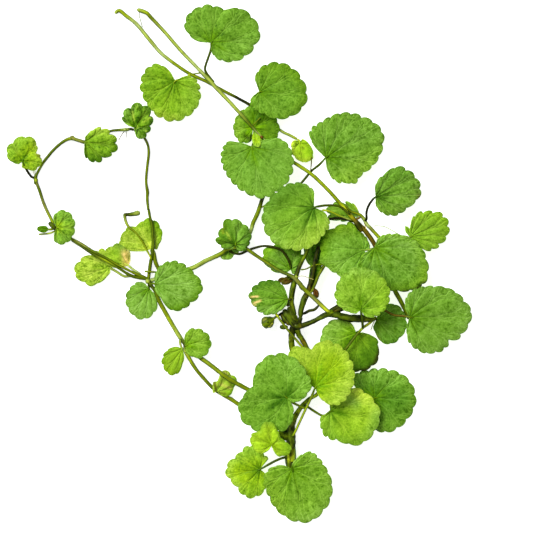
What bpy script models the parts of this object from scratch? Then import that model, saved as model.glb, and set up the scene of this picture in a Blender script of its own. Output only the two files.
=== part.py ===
"""Japanese cress, picked and laid down: a creeping water plant with round, scalloped leaves.

The plant lies on the plane z = 0. Its plan follows the photo, which looks straight down on it.
Every place is given as (across, down) in pixels of that plan, with a height above the table in
millimetres. PIXEL turns pixels into metres.
"""

import math

import bmesh
import bpy
from mathutils import Vector

MM = 0.001
# The widest leaf is 30 mm across, and it spans 75 pixels of the plan.
WIDEST_LEAF = 0.030
WIDEST_LEAF_SPAN = 75
PIXEL = WIDEST_LEAF / WIDEST_LEAF_SPAN
# The plan is seen from this height, above this pixel, so what stands higher is drawn closer in.
VIEW_HEIGHT = 0.70
VIEW_PIXEL = (270.0, 270.0)
# The pixel below which the part's origin lies: the middle of its box.
ORIGIN_PIXEL = (239.8, 265.1)

BLADE = 0.45 * MM
STALK = 0.40 * MM
# A scallop is this deep, in pixels, on a leaf of at least this length. A shorter leaf has shallower ones.
SCALLOP_DEPTH = 1.6
SCALLOP_LENGTH = 35
# A leaf that droops more than this, in millimetres, has a ring of points half way to its margin.
FLAT_LEAF_DROOP = 0.5
# A stem this thick, in millimetres of radius, is six-sided. A thinner one is four-sided.
THICK_STEM = 0.5

LEAF_GREEN = (0.12, 0.33, 0.03)
YOUNG_GREEN = (0.30, 0.52, 0.03)
SHADE_GREEN = (0.06, 0.22, 0.02)
DYING_OLIVE = (0.35, 0.32, 0.04)
STEM_GREEN = (0.28, 0.40, 0.05)
STEM_BROWN = (0.09, 0.07, 0.02)
LEAF_ROUGHNESS = 0.55
STEM_ROUGHNESS = 0.45

for old in list(bpy.data.objects):
    bpy.data.objects.remove(old, do_unlink=True)

plant = bpy.data.collections.new("japanese_cress")
helpers = bpy.data.collections.new("stalks_to_join")
for collection in (plant, helpers):
    bpy.context.scene.collection.children.link(collection)
helpers.hide_render = True


def tissue(name, colour, roughness):
    """A plain plant tissue."""
    material = bpy.data.materials.new(name)
    material.use_nodes = True
    shader = material.node_tree.nodes["Principled BSDF"]
    shader.inputs["Base Color"].default_value = (*colour, 1.0)
    shader.inputs["Roughness"].default_value = roughness
    shader.inputs["Metallic"].default_value = 0.0
    material.diffuse_color = (*colour, 1.0)
    return material


leaf_tissue = tissue("leaf", LEAF_GREEN, LEAF_ROUGHNESS)
young_tissue = tissue("young_leaf", YOUNG_GREEN, LEAF_ROUGHNESS)
shade_tissue = tissue("shaded_leaf", SHADE_GREEN, LEAF_ROUGHNESS)
dying_tissue = tissue("dying_leaf", DYING_OLIVE, LEAF_ROUGHNESS)
runner_tissue = tissue("runner", STEM_GREEN, STEM_ROUGHNESS)
bark_tissue = tissue("crown", STEM_BROWN, STEM_ROUGHNESS)


def spot(across, down, height):
    """The point at a pixel of the plan and at a height in millimetres."""
    closer = 1 - height * MM / VIEW_HEIGHT
    x = (across - VIEW_PIXEL[0]) * closer + VIEW_PIXEL[0] - ORIGIN_PIXEL[0]
    y = (down - VIEW_PIXEL[1]) * closer + VIEW_PIXEL[1] - ORIGIN_PIXEL[1]
    return Vector((x * PIXEL, -y * PIXEL, height * MM))


def reach(outline, direction):
    """The distance from the notch to the margin: a smooth curve through the outline's pairs."""
    last = len(outline) - 1
    k = 0
    while k < last - 1 and direction > outline[k + 1][0]:
        k += 1
    (a0, r0), (a1, r1) = outline[k], outline[k + 1]
    before = outline[max(k - 1, 0)]
    after = outline[min(k + 2, last)]
    slope0 = (r1 - before[1]) / (a1 - before[0])
    slope1 = (after[1] - r0) / (after[0] - a0)
    span = a1 - a0
    t = (direction - a0) / span
    smooth = t * t * (3 - 2 * t)
    bend = t * (1 - t)
    return r0 + (r1 - r0) * smooth + span * bend * ((1 - t) * slope0 - t * slope1)


def put(obj):
    plant.objects.link(obj)
    return obj


def tube(name, route, radii):
    """A round stem through the route's points, with one radius in millimetres for each point."""
    curve = bpy.data.curves.new(name, "CURVE")
    curve.dimensions = "3D"
    curve.bevel_depth = MM
    curve.bevel_resolution = 1 if max(radii) > THICK_STEM else 0
    curve.use_fill_caps = True
    spline = curve.splines.new("POLY")
    spline.points.add(len(route) - 1)
    for point, place, radius in zip(spline.points, route, radii):
        point.co = (*spot(*place), 1.0)
        point.radius = radius
    return bpy.data.objects.new(name, curve)


def as_mesh(obj, collection):
    """The mesh of a curve object, with its caps welded, in place of the curve."""
    collection.objects.link(obj)
    bpy.context.view_layer.update()
    evaluated = obj.evaluated_get(bpy.context.evaluated_depsgraph_get())
    mesh = bpy.data.meshes.new_from_object(evaluated)
    name = obj.name
    matrix = obj.matrix_world.copy()
    bpy.data.objects.remove(obj, do_unlink=True)
    shape = bmesh.new()
    shape.from_mesh(mesh)
    bmesh.ops.remove_doubles(shape, verts=shape.verts, dist=1e-6)
    bmesh.ops.recalc_face_normals(shape, faces=shape.faces)
    shape.to_mesh(mesh)
    shape.free()
    made = bpy.data.objects.new(name, mesh)
    made.matrix_world = matrix
    collection.objects.link(made)
    return made


def join(body, extras):
    """Grows each extra tube onto the body."""
    for k, extra in enumerate(extras):
        grown = as_mesh(tube(f"{body.name}_join_{k}", *extra), helpers)
        grown.hide_render = True
        grown.display_type = "WIRE"
        union = body.modifiers.new(f"join_{k}", "BOOLEAN")
        union.operation = "UNION"
        union.object = grown


def spread(value, count):
    """One radius for each point: a single number is used for them all."""
    return [value] * count if isinstance(value, (int, float)) else value


def stem(name, route, radius, material, branches=()):
    """A stem, with any branches grown onto it. It is one piece."""
    body = tube(name, route, spread(radius, len(route)))
    if branches:
        body = as_mesh(body, plant)
        join(body, [(way, spread(size, len(way))) for way, size in branches])
    else:
        put(body)
    body.data.materials.append(material)


def leaf(name, notch, heading, outline, scallops, lie, stalk, material):
    """A round blade on its stalk.

    The blade fans out from the notch, where the stalk meets it. lie holds the notch's height,
    what the tip and the left margin gain on it, and how far the margin droops, in millimetres.
    """
    height, rise, bank, droop = lie
    first, last = outline[0][0], outline[-1][0]
    length = reach(outline, heading)
    depth = SCALLOP_DEPTH * min(1, length / SCALLOP_LENGTH)
    rings = 2 if droop > FLAT_LEAF_DROOP else 1
    fan = bmesh.new()
    bmesh.ops.create_grid(fan, x_segments=scallops, y_segments=rings, size=0.5)
    rim = [e for e in fan.edges if all(v.co.y > 0.4 for v in e.verts)]
    bmesh.ops.subdivide_edges(fan, edges=rim, cuts=1)
    for vert in fan.verts:
        turn = vert.co.x + 0.5
        out = vert.co.y + 0.5
        direction = first + (last - first) * turn
        edge = reach(outline, direction)
        if out > 0.9:
            edge -= depth / 2 * (1 + math.cos(math.tau * scallops * turn))
        far = out * edge
        angle = math.radians(direction)
        ahead = far * math.cos(angle - math.radians(heading)) / length
        aside = far * math.sin(angle - math.radians(heading)) / length
        lift = height + rise * ahead + bank * aside - droop * (far / length) ** 2
        vert.co = spot(notch[0] + far * math.cos(angle), notch[1] - far * math.sin(angle), lift)
    bmesh.ops.remove_doubles(fan, verts=fan.verts, dist=1e-6)
    bmesh.ops.recalc_face_normals(fan, faces=fan.faces)
    mesh = bpy.data.meshes.new(name)
    fan.to_mesh(mesh)
    fan.free()
    mesh.materials.append(material)
    blade = put(bpy.data.objects.new(name, mesh))
    flesh = blade.modifiers.new("flesh", "SOLIDIFY")
    flesh.thickness = BLADE
    flesh.offset = 0.0
    route = [(*notch, height)] + stalk
    join(blade, [(route, [STALK / MM] * len(route))])


# Upper group: the leaves on the two long runners.
leaf(
    "leaf_upper_1", (211.3, 42.5), 42,
    [(-95, 5), (-80, 12), (-45, 29), (-9, 39), (13, 49.5), (50, 44), (66, 34), (100, 37), (146, 33), (178, 12)],
    15, (6.0, 1.5, 0.0, 0.6),
    [(211.0, 48.0, 5.4), (207.5, 58.5, 4.6), (205.4, 67.0, 3.4), (208.4, 72.8, 2.0), (212.8, 79.2, 1.4)],
    leaf_tissue,
)
leaf(
    "leaf_upper_2", (174.9, 81.1), 252,
    [(113, 8), (137, 25), (182, 35), (213, 36), (262, 40.5), (297, 37), (335, 29), (377, 17.6), (391, 8)],
    16, (2.6, -1.2, 0.0, 0.2),
    [(182.0, 79.0, 1.9), (188.0, 76.6, 1.2)],
    leaf_tissue,
)
leaf(
    "leaf_upper_3", (259.5, 91.8), -5,
    [(-127, 15), (-81, 21.4), (-47, 36.6), (-2, 47.5), (49, 37.5), (85, 25.6), (112, 13)],
    14, (5.4, 0.6, 0.0, 0.3),
    [(255.0, 97.0, 4.4), (250.5, 101.6, 2.6), (247.6, 101.6, 2.0)],
    leaf_tissue,
)
leaf(
    "leaf_upper_4", (253.0, 128.0), 80,
    [(-70, 15), (-20, 26), (20, 26.5), (60, 22.5), (100, 21), (150, 21), (190, 20.5), (230, 19), (255, 11)],
    14, (2.4, 0.0, 0.0, 0.1),
    [(256.5, 134.0, 2.8), (259.0, 138.0, 3.4)],
    shade_tissue,
)
leaf(
    "leaf_upper_5", (251.8, 147.3), -77,
    [(-230, 7), (-207, 13), (-197, 21), (-185, 27), (-170, 31), (-128, 37), (-101, 43), (-75, 53), (-43, 51),
     (-23, 45), (9, 34.5), (20, 28), (28, 18), (38, 8)],
    20, (6.5, 4.4, 0.8, 0.4),
    [(254.0, 141.6, 5.4), (256.4, 140.2, 4.7)],
    leaf_tissue,
)
leaf(
    "leaf_upper_6", (299.8, 142.6), -78,
    [(-165, 4), (-140, 10), (-110, 17), (-78, 20), (-50, 18), (-20, 12), (10, 4)],
    8, (2.0, 0.2, 0.0, 0.2),
    [(299.4, 141.2, 1.7)],
    young_tissue,
)
leaf(
    "leaf_upper_7", (326.2, 157.4), 31,
    [(-81, 8), (-46, 37), (-27, 40.5), (-7, 50), (20, 62), (31, 62), (46, 57), (66, 49), (96, 37), (126, 28),
     (143, 8)],
    20, (6.2, -3.8, 0.0, 1.6),
    [(319.4, 165.0, 5.0), (311.7, 170.8, 3.5), (305.0, 178.4, 3.4), (299.0, 186.0, 3.4)],
    leaf_tissue,
)

# Centre: the leaves stacked over the crown.
leaf(
    "leaf_centre_1", (313.8, 207.5), 214,
    [(87, 13), (108, 22), (128, 32), (168, 42), (189, 52.5), (216, 53), (244, 48), (271, 38), (288, 30), (314, 20),
     (340, 9)],
    18, (8.4, -1.2, -0.8, 0.2),
    [(320.0, 205.4, 8.0), (326.5, 204.6, 7.6), (337.0, 205.7, 7.2), (343.0, 208.4, 7.0), (349.0, 213.6, 6.9)],
    leaf_tissue,
)
leaf(
    "leaf_centre_2", (364.0, 250.0), 175,
    [(10, 5), (34, 7), (63, 11), (87, 15.5), (104, 20), (115, 29), (128, 34), (144, 39.5), (157, 43), (174, 40),
     (197, 37.5), (215, 36.8), (230, 32.7), (241, 25), (262, 12)],
    15, (3.0, 2.6, 0.0, 0.1),
    [(370.0, 249.6, 3.2)],
    leaf_tissue,
)
leaf(
    "leaf_centre_3", (360.5, 309.8), 88,
    [(-58, 6), (-35, 14), (-8, 22), (19, 31), (41, 37), (89, 43), (115, 40), (142, 32), (159, 26), (195, 11),
     (225, 5)],
    17, (9.6, 1.2, 0.0, 0.2),
    [(361.6, 315.0, 8.4), (362.2, 319.0, 7.8), (362.8, 324.0, 7.0)],
    young_tissue,
)
leaf(
    "leaf_centre_4", (290.5, 269.0), 128,
    [(15, 7), (50, 20), (80, 25), (105, 27), (128, 30), (150, 31), (175, 27), (205, 12), (228, 5)],
    12, (2.2, 0.0, 0.0, 0.0),
    [(289.6, 263.0, 3.0), (286.4, 256.5, 3.3), (281.6, 250.4, 3.3), (275.5, 247.6, 3.0), (269.4, 245.8, 2.4),
     (261.7, 245.8, 1.6), (253.3, 248.0, 0.8), (248.0, 250.4, 0.7), (240.3, 253.8, 0.7)],
    shade_tissue,
)
leaf(
    "leaf_centre_5", (313.0, 268.0), 78,
    [(35, 6), (60, 32), (78, 44), (96, 42), (112, 16), (125, 6)],
    6, (1.6, 0.4, 0.0, 0.0),
    [(312.4, 270.5, 2.2)],
    shade_tissue,
)
leaf(
    "leaf_centre_6", (287.5, 299.0), 180,
    [(98, 4), (110, 16), (132, 26), (158, 35), (176, 38.6), (188, 36.8), (198, 33), (212, 26.5), (231, 19.8),
     (246, 11), (265, 4)],
    12, (7.0, -2.0, 0.0, 0.0),
    [(290.2, 299.4, 6.6)],
    leaf_tissue,
)
leaf(
    "leaf_centre_7", (235.5, 244.5), 80,
    [(-70, 6), (-30, 12), (22, 17.5), (65, 24), (98, 27), (128, 22), (165, 19), (195, 14), (230, 16), (255, 15),
     (275, 8)],
    11, (4.1, 0.4, 0.0, 0.0),
    [(236.2, 246.0, 3.4)],
    leaf_tissue,
)
leaf(
    "leaf_centre_8", (359.0, 214.0), 168,
    [(110, 5), (140, 15), (160, 24), (172, 28), (184, 22), (205, 8)],
    6, (1.6, 0.2, 0.0, 0.0),
    [(357.6, 217.4, 2.4), (356.6, 219.4, 3.1)],
    shade_tissue,
)

# Right: the leaves that hang off the thick runner's end.
leaf(
    "leaf_right_1", (376.3, 196.6), 2,
    [(-100, 6), (-70, 15), (-47, 26), (-20, 36), (5, 45), (30, 42), (56, 37), (70, 24), (92, 12), (105, 5)],
    13, (7.6, -3.0, 0.0, 0.6),
    [(371.5, 200.0, 7.6), (368.0, 206.0, 7.6), (366.4, 212.6, 7.5), (366.6, 219.0, 7.4)],
    leaf_tissue,
)
leaf(
    "leaf_right_2", (410.2, 236.8), 22,
    [(-60, 9), (-44, 20.5), (-8, 32), (14, 40), (34, 38), (54, 32), (80, 17), (94, 8.5), (104, 9.5), (114, 10.7),
     (138, 5)],
    13, (5.5, -2.6, 0.0, 0.0),
    [(404.0, 240.0, 5.1), (396.0, 243.0, 4.9), (388.0, 244.0, 4.8)],
    leaf_tissue,
)
leaf(
    "leaf_right_3", (375.0, 247.3), -33,
    [(-142, 15), (-125, 24), (-100, 34), (-67, 48), (-55, 55), (-22, 57), (6, 43), (37, 24), (76, 8)],
    18, (7.8, -1.6, 0.0, 0.2),
    [(376.6, 249.6, 6.3)],
    leaf_tissue,
)
leaf(
    "leaf_right_4", (410.0, 317.3), 0,
    [(-112, 7), (-91, 26), (-61, 41), (-28, 50), (0, 62), (34, 49), (58, 37), (88, 26), (107, 17), (122, 7)],
    20, (7.6, -5.2, 1.6, 1.0),
    [(403.7, 316.0, 6.6), (394.6, 315.2, 6.0), (388.2, 312.4, 5.8), (383.0, 309.0, 5.6)],
    leaf_tissue,
)
leaf(
    "leaf_right_5", (376.5, 320.0), -15,
    [(-100, 7), (-65, 29), (-30, 32), (0, 31), (38, 24), (70, 9)],
    10, (2.4, -1.6, 0.0, 0.0),
    [(376.0, 319.2, 3.2)],
    shade_tissue,
)

# Lower group: the leaves below the crown.
leaf(
    "leaf_lower_1", (356.0, 333.5), 235,
    [(105, 6), (133, 20.5), (155, 28), (176, 34), (205, 38), (235, 40), (261, 38.5), (285, 38), (310, 33),
     (328, 26.7), (350, 12)],
    14, (2.8, 0.5, 0.0, 0.0),
    [(357.5, 332.0, 3.9)],
    shade_tissue,
)
leaf(
    "leaf_lower_2", (374.5, 398.0), -3,
    [(-150, 12), (-110, 24), (-81, 32), (-66, 37), (-30, 41), (0, 42), (35, 36), (63, 32), (101, 29), (138, 30),
     (160, 14)],
    16, (1.6, -0.8, 0.0, 0.2),
    [(366.0, 402.0, 2.0), (350.0, 407.0, 2.2), (334.0, 408.0, 2.4), (318.0, 404.6, 2.2), (312.4, 403.0, 2.0)],
    shade_tissue,
)
leaf(
    "leaf_lower_3", (330.5, 411.0), -12,
    [(-150, 10), (-130, 17), (-100, 25), (-75, 30), (-48, 44), (-3, 50), (20, 43), (39, 36), (70, 22), (100, 9)],
    14, (4.6, -0.4, 0.0, 0.0),
    [(323.3, 416.5, 4.2), (315.0, 412.5, 3.5), (306.5, 406.6, 3.0)],
    young_tissue,
)
leaf(
    "leaf_lower_4", (315.3, 387.4), 50,
    [(-72, 7), (-43, 27), (-7, 36), (18, 41.5), (51, 48), (74, 49), (108, 43.5), (125, 43), (145, 30), (165, 10)],
    17, (8.2, 1.4, -1.6, 0.0),
    [(311.0, 398.0, 7.2), (306.5, 410.0, 6.4), (300.4, 423.0, 5.6), (294.6, 435.0, 5.0)],
    young_tissue,
)
leaf(
    "leaf_lower_5", (286.6, 397.5), 140,
    [(-45, 6), (-18, 11), (5, 20), (26, 28), (53, 33), (101, 45), (133, 42), (161, 35), (190, 48), (213, 48),
     (254, 36), (270, 32), (292, 21), (312, 7)],
    19, (7.4, -1.4, -2.6, 0.0),
    [(291.9, 402.0, 6.0), (299.6, 406.0, 4.7), (306.0, 408.6, 4.7)],
    leaf_tissue,
)
leaf(
    "leaf_lower_6", (271.7, 445.0), 100,
    [(-62, 4), (-47, 13.7), (-30, 17.7), (-12, 19.1), (7, 16.4), (30, 14.5), (55, 14.6), (75, 18.5), (88, 22),
     (103, 24), (118, 20.5), (138, 17.8), (154, 20.8), (174, 21), (193, 18.2), (216, 14.5), (231, 9), (245, 4)],
    11, (6.9, 0.5, -0.3, 0.0),
    [(275.0, 442.0, 6.2), (280.6, 438.6, 5.0)],
    young_tissue,
)
leaf(
    "leaf_lower_7", (259.9, 469.4), 190,
    [(50, 10), (75, 16), (114, 25), (143, 30), (182, 34), (213, 29), (248, 30), (281, 21), (297, 16.5), (325, 6)],
    13, (3.2, -1.4, 0.0, 0.2),
    [(270.0, 464.6, 3.0), (277.0, 461.0, 2.8), (284.0, 457.6, 2.6)],
    young_tissue,
)
leaf(
    "leaf_lower_8", (292.1, 469.0), -72,
    [(-205, 10), (-170, 26), (-134, 35), (-105, 45), (-76, 55), (-48, 52), (-27, 46), (1, 35), (24, 28), (43, 24),
     (67, 11), (85, 5)],
    19, (5.2, -4.0, 0.0, 0.5),
    [(292.2, 463.0, 4.7)],
    leaf_tissue,
)

# Left: the small leaves along the loop and the two runners below it.
leaf(
    "leaf_left_1", (155.1, 284.2), -3,
    [(-95, 7), (-65, 23), (-54, 32), (-31, 38), (-4, 46.5), (19, 40), (52, 30), (76, 16), (98, 6)],
    14, (3.6, -0.6, 0.0, 0.0),
    [(152.2, 283.2, 3.5)],
    leaf_tissue,
)
leaf(
    "leaf_left_2", (149.0, 288.5), 240,
    [(125, 5), (146, 12), (172, 19), (200, 25), (235, 31), (260, 31), (296, 17), (320, 6)],
    10, (0.9, 1.2, 0.0, 0.0),
    [(148.8, 285.4, 1.0)],
    leaf_tissue,
)
leaf(
    "leaf_left_3", (185.5, 345.5), 12,
    [(-100, 4), (-59, 12.8), (-38, 18.7), (-15, 24), (6, 25.4), (28, 24.4), (53, 20.7), (80, 14.7), (105, 5)],
    9, (2.6, 1.2, 0.0, 0.0),
    [(185.0, 346.6, 2.1)],
    leaf_tissue,
)
leaf(
    "leaf_left_4", (182.2, 349.0), 235,
    [(150, 4), (172, 10.6), (190, 17.5), (211, 23.2), (222, 25.6), (243, 27.4), (260, 23.4), (273, 14), (290, 5)],
    8, (2.8, -0.8, 0.0, 0.0),
    [(180.6, 345.6, 2.6), (180.0, 340.6, 2.4)],
    leaf_tissue,
)
leaf(
    "leaf_left_5", (151.5, 248.5), 125,
    [(-12, 5), (27, 10), (46, 14.6), (63, 20.8), (78, 26), (93, 29), (107, 28), (125, 26), (141, 31), (157, 32.5),
     (170, 31), (185, 24.6), (193, 13.8), (205, 5)],
    11, (1.3, 0.0, 0.0, 0.0),
    [(151.2, 251.0, 1.0)],
    young_tissue,
)
leaf(
    "leaf_left_6", (110.0, 267.0), 200,
    [(90, 5), (125, 12), (155, 23), (180, 33), (205, 35), (225, 25), (245, 18), (275, 6)],
    9, (0.65, 0.9, 0.0, 0.0),
    [(117.0, 270.6, 0.7), (124.0, 275.6, 0.7)],
    young_tissue,
)
leaf(
    "leaf_left_7", (128.0, 265.3), 152,
    [(60, 4), (95, 12), (125, 22), (145, 30), (165, 28), (182, 20), (200, 6)],
    8, (1.55, 0.0, 0.0, 0.0),
    [(133.0, 269.0, 1.1), (137.6, 271.6, 0.8)],
    young_tissue,
)
leaf(
    "leaf_left_8", (135.2, 127.2), 55,
    [(-95, 5), (-68, 12.5), (-13, 16), (21, 19), (52, 24), (85, 24), (115, 20), (143, 16), (170, 6)],
    8, (2.6, 2.0, 0.0, 0.0),
    [(135.0, 129.4, 1.8)],
    shade_tissue,
)
leaf(
    "leaf_left_9", (85.5, 142.0), -8,
    [(-104, 6), (-89, 13), (-77, 19.5), (-60, 22.7), (-43, 20.5), (-35, 26), (-21, 30.5), (2, 31.5), (24, 24.6),
     (44, 21.6), (74, 12.5), (100, 4)],
    10, (2.6, 0.4, 0.0, 0.0),
    [(85.8, 142.8, 2.2)],
    leaf_tissue,
)
leaf(
    "leaf_left_10", (22.4, 160.9), 50,
    [(-95, 6), (-60, 11), (-37, 15), (-2, 20.5), (17, 19), (29, 15), (42, 19.5), (62, 24.5), (80, 25), (115, 21),
     (148, 18), (175, 15), (200, 9), (225, 4)],
    9, (2.4, 0.6, 0.0, 0.0),
    [(25.0, 166.0, 2.0), (27.6, 170.4, 1.6), (32.2, 176.6, 1.0)],
    leaf_tissue,
)
leaf(
    "leaf_left_11", (57.1, 227.8), 0,
    [(-105, 6), (-76, 17), (-38, 20), (0, 18), (38, 20), (71, 19), (100, 7)],
    8, (2.4, 0.8, 0.0, 0.0),
    [(56.6, 228.6, 1.85)],
    leaf_tissue,
)
leaf(
    "leaf_left_12", (48.6, 229.4), 175,
    [(120, 3), (150, 7), (175, 11), (200, 8), (230, 3)],
    4, (1.6, 0.2, 0.0, 0.0),
    [(50.4, 229.3, 1.6), (51.8, 229.2, 1.6)],
    shade_tissue,
)
leaf(
    "leaf_left_13", (218.0, 391.5), 62,
    [(-20, 5), (5, 12), (30, 18), (62, 21), (92, 20), (120, 12), (145, 5)],
    7, (2.5, 0.0, 0.0, 0.0),
    [(218.4, 392.2, 2.05)],
    dying_tissue,
)

# Flower buds, each on its own stalk.
stem(
    "bud_left",
    [(147.0, 258.0, 2.4), (145.6, 250.0, 2.6), (141.7, 240.7, 2.7), (135.6, 233.6, 2.6), (129.3, 227.3, 2.5),
     (126.0, 220.5, 2.3), (124.2, 214.4, 2.1), (128.0, 212.6, 2.1), (133.0, 213.4, 2.1), (137.0, 213.2, 2.1),
     (140.0, 212.6, 2.1)],
    [0.35, 0.35, 0.35, 0.35, 0.35, 0.4, 0.6, 0.75, 0.6, 0.75, 0.35],
    runner_tissue,
)
stem(
    "bud_crown",
    [(262.0, 326.0, 2.6), (263.6, 325.0, 2.6), (267.8, 322.3, 2.7), (271.6, 319.8, 2.9), (274.0, 318.3, 3.1),
     (278.4, 315.4, 3.4)],
    [0.8, 1.8, 2.3, 1.7, 0.5, 0.5],
    dying_tissue,
)

# The crown, with its thick side stem and the short stem that runs down under the leaves.
stem(
    "crown",
    [(284.0, 310.5, 4.0), (291.2, 319.7, 4.4), (296.4, 325.6, 4.6), (302.0, 326.4, 4.8), (314.2, 321.2, 5.0),
     (326.0, 314.6, 5.0), (336.0, 314.6, 5.0), (346.0, 317.6, 5.0), (360.0, 318.6, 5.0), (375.0, 318.4, 5.0)],
    [1.6, 1.9, 1.9, 1.2, 1.0, 1.2, 1.4, 1.5, 1.6, 1.2],
    bark_tissue,
    [
        ([(296.0, 324.0, 4.6), (294.8, 314.6, 4.5)], [1.3, 0.95]),
        (
            [(294.6, 324.0, 4.4), (292.0, 332.0, 4.0), (291.4, 340.4, 3.4), (292.4, 351.0, 2.8), (294.0, 367.0, 2.3),
             (297.6, 383.0, 2.1), (300.0, 397.0, 2.1)],
            [1.4, 1.3, 1.25, 1.2, 1.0, 0.9, 0.9],
        ),
        (
            [(327.0, 314.0, 5.0), (334.0, 309.0, 5.0), (341.0, 305.0, 5.0), (348.0, 302.0, 5.0)],
            [0.9, 1.0, 1.0, 0.9],
        ),
    ],
)
stem(
    "stem_crown_left",
    [(293.4, 310.2, 4.4), (291.4, 303.0, 4.5), (291.6, 294.0, 4.6), (294.0, 282.4, 4.6), (298.3, 269.4, 4.6),
     (301.7, 261.8, 4.6), (305.4, 254.2, 4.7), (308.4, 247.3, 4.8), (311.0, 238.0, 4.8)],
    [0.95, 1.1, 1.1, 1.1, 0.85, 0.8, 0.75, 0.7, 0.7],
    bark_tissue,
)
stem(
    "stem_crown_right",
    [(300.8, 317.4, 4.7), (301.2, 311.0, 4.6), (304.4, 300.0, 4.6), (308.2, 291.0, 4.5), (311.2, 281.0, 4.4),
     (313.8, 267.7, 4.2), (316.0, 256.0, 4.0)],
    [0.85, 1.0, 1.2, 1.1, 1.1, 1.0, 0.8],
    bark_tissue,
    [
        (
            [(308.0, 292.6, 4.5), (311.6, 291.0, 4.5), (314.6, 284.8, 4.5), (318.4, 275.3, 4.3), (323.4, 266.9, 4.0),
             (328.0, 259.0, 3.6)],
            0.65,
        ),
        (
            [(300.8, 314.6, 4.6), (305.4, 312.4, 4.5), (309.0, 310.4, 4.4), (314.4, 309.2, 4.4), (318.8, 305.6, 4.4)],
            0.4,
        ),
    ],
)
stem(
    "stem_over_crown",
    [(270.0, 306.5, 4.4), (275.2, 312.8, 5.0), (280.0, 319.6, 6.0), (285.6, 327.0, 6.9), (293.0, 336.0, 6.4),
     (301.2, 345.7, 5.6), (307.0, 353.0, 5.2)],
    0.5,
    runner_tissue,
)
stem(
    "stem_diagonal",
    [(368.4, 324.0, 4.4), (362.8, 328.0, 4.9), (355.9, 335.8, 5.2), (346.7, 348.0, 5.2), (340.0, 357.0, 4.8)],
    0.55,
    runner_tissue,
)

# The trunk, which thickens on its way down.
stem(
    "trunk",
    [(298.6, 333.6, 4.0), (303.0, 341.0, 3.5), (307.6, 349.5, 3.1), (315.0, 362.0, 2.6), (321.0, 378.0, 2.2),
     (318.0, 393.0, 2.0), (309.0, 399.2, 2.0), (301.4, 406.7, 2.1), (295.4, 416.0, 2.2), (292.2, 425.0, 2.2),
     (290.6, 435.0, 2.2), (291.0, 444.0, 2.2), (290.4, 457.0, 2.1), (291.2, 465.0, 2.0)],
    [0.85, 1.05, 0.95, 0.8, 0.75, 0.75, 0.8, 0.9, 1.1, 1.3, 1.7, 1.7, 1.7, 1.3],
    bark_tissue,
    [([(290.6, 436.0, 2.2), (285.0, 436.6, 2.2), (280.6, 436.8, 2.0)], [1.6, 1.6, 1.0])],
)

# The stems beside the crown.
stem(
    "stem_right",
    [(345.6, 204.4, 6.6), (351.6, 209.6, 6.3), (360.0, 215.3, 6.1), (364.6, 220.6, 6.0), (369.2, 226.0, 5.8),
     (375.3, 232.9, 5.4), (382.0, 240.6, 4.8)],
    [0.5, 0.6, 0.65, 0.65, 0.65, 0.65, 0.6],
    runner_tissue,
)
stem(
    "stem_upper",
    [(267.0, 190.0, 2.2), (262.5, 198.3, 2.0), (258.7, 211.3, 1.6), (253.3, 222.8, 1.3), (250.3, 232.0, 1.2),
     (244.6, 242.0, 1.2)],
    [0.75, 0.75, 0.75, 0.75, 0.75, 0.65],
    runner_tissue,
    [([(259.6, 208.6, 1.7), (263.0, 206.6, 1.9), (266.8, 204.2, 2.0)], 0.3)],
)

# The two long runners that reach the top.
stem(
    "runner_top_left",
    [(114.2, 12.5, 0.7), (119.1, 9.8, 0.7), (126.7, 15.2, 0.8), (137.0, 24.0, 1.0), (148.4, 39.0, 1.1),
     (160.3, 53.1, 1.0), (174.4, 64.0, 0.8), (189.6, 73.7, 0.7), (205.8, 81.6, 0.7), (224.3, 91.1, 0.7),
     (239.4, 98.7, 0.8), (254.0, 107.6, 0.9), (278.6, 130.1, 1.0), (290.0, 135.6, 1.2), (297.4, 139.0, 1.2)],
    [0.45, 0.6, 0.6, 0.6, 0.6, 0.55, 0.55, 0.55, 0.5, 0.5, 0.5, 0.5, 0.5, 0.5, 0.45],
    runner_tissue,
)
stem(
    "runner_top_right",
    [(137.0, 10.6, 0.8), (139.7, 8.7, 0.8), (147.3, 11.9, 0.9), (151.6, 17.3, 1.1), (165.7, 32.5, 1.6),
     (180.9, 49.9, 2.0), (197.2, 66.1, 2.2), (209.1, 79.1, 2.5), (217.8, 88.9, 2.6), (235.1, 106.2, 3.8),
     (251.4, 124.7, 4.6), (262.0, 137.3, 4.9), (276.0, 148.0, 5.0), (292.5, 160.2, 5.0), (310.7, 172.7, 5.0),
     (325.0, 186.0, 5.0), (338.6, 200.7, 5.0), (347.0, 211.4, 5.0), (355.4, 221.0, 5.0), (365.4, 231.0, 4.9),
     (375.3, 246.0, 4.7), (384.0, 268.0, 3.8), (394.6, 292.0, 3.0), (404.6, 311.0, 2.5)],
    [0.5, 0.65, 0.65, 0.65, 0.65, 0.65, 0.65, 0.65, 0.6, 0.55, 0.5, 0.5, 0.6, 0.65, 0.7, 0.7, 0.75, 0.85,
     1.0, 0.95, 0.9, 0.75, 0.7, 0.6],
    runner_tissue,
    [
        ([(356.4, 222.4, 4.9), (347.8, 219.8, 4.2), (337.0, 218.3, 3.6), (326.0, 219.8, 3.4)], 0.5),
        (
            [(354.0, 221.0, 4.9), (346.2, 218.2, 4.4), (338.6, 215.4, 4.0), (330.0, 211.4, 3.7), (322.0, 210.0, 3.6)],
            0.4,
        ),
    ],
)

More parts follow.
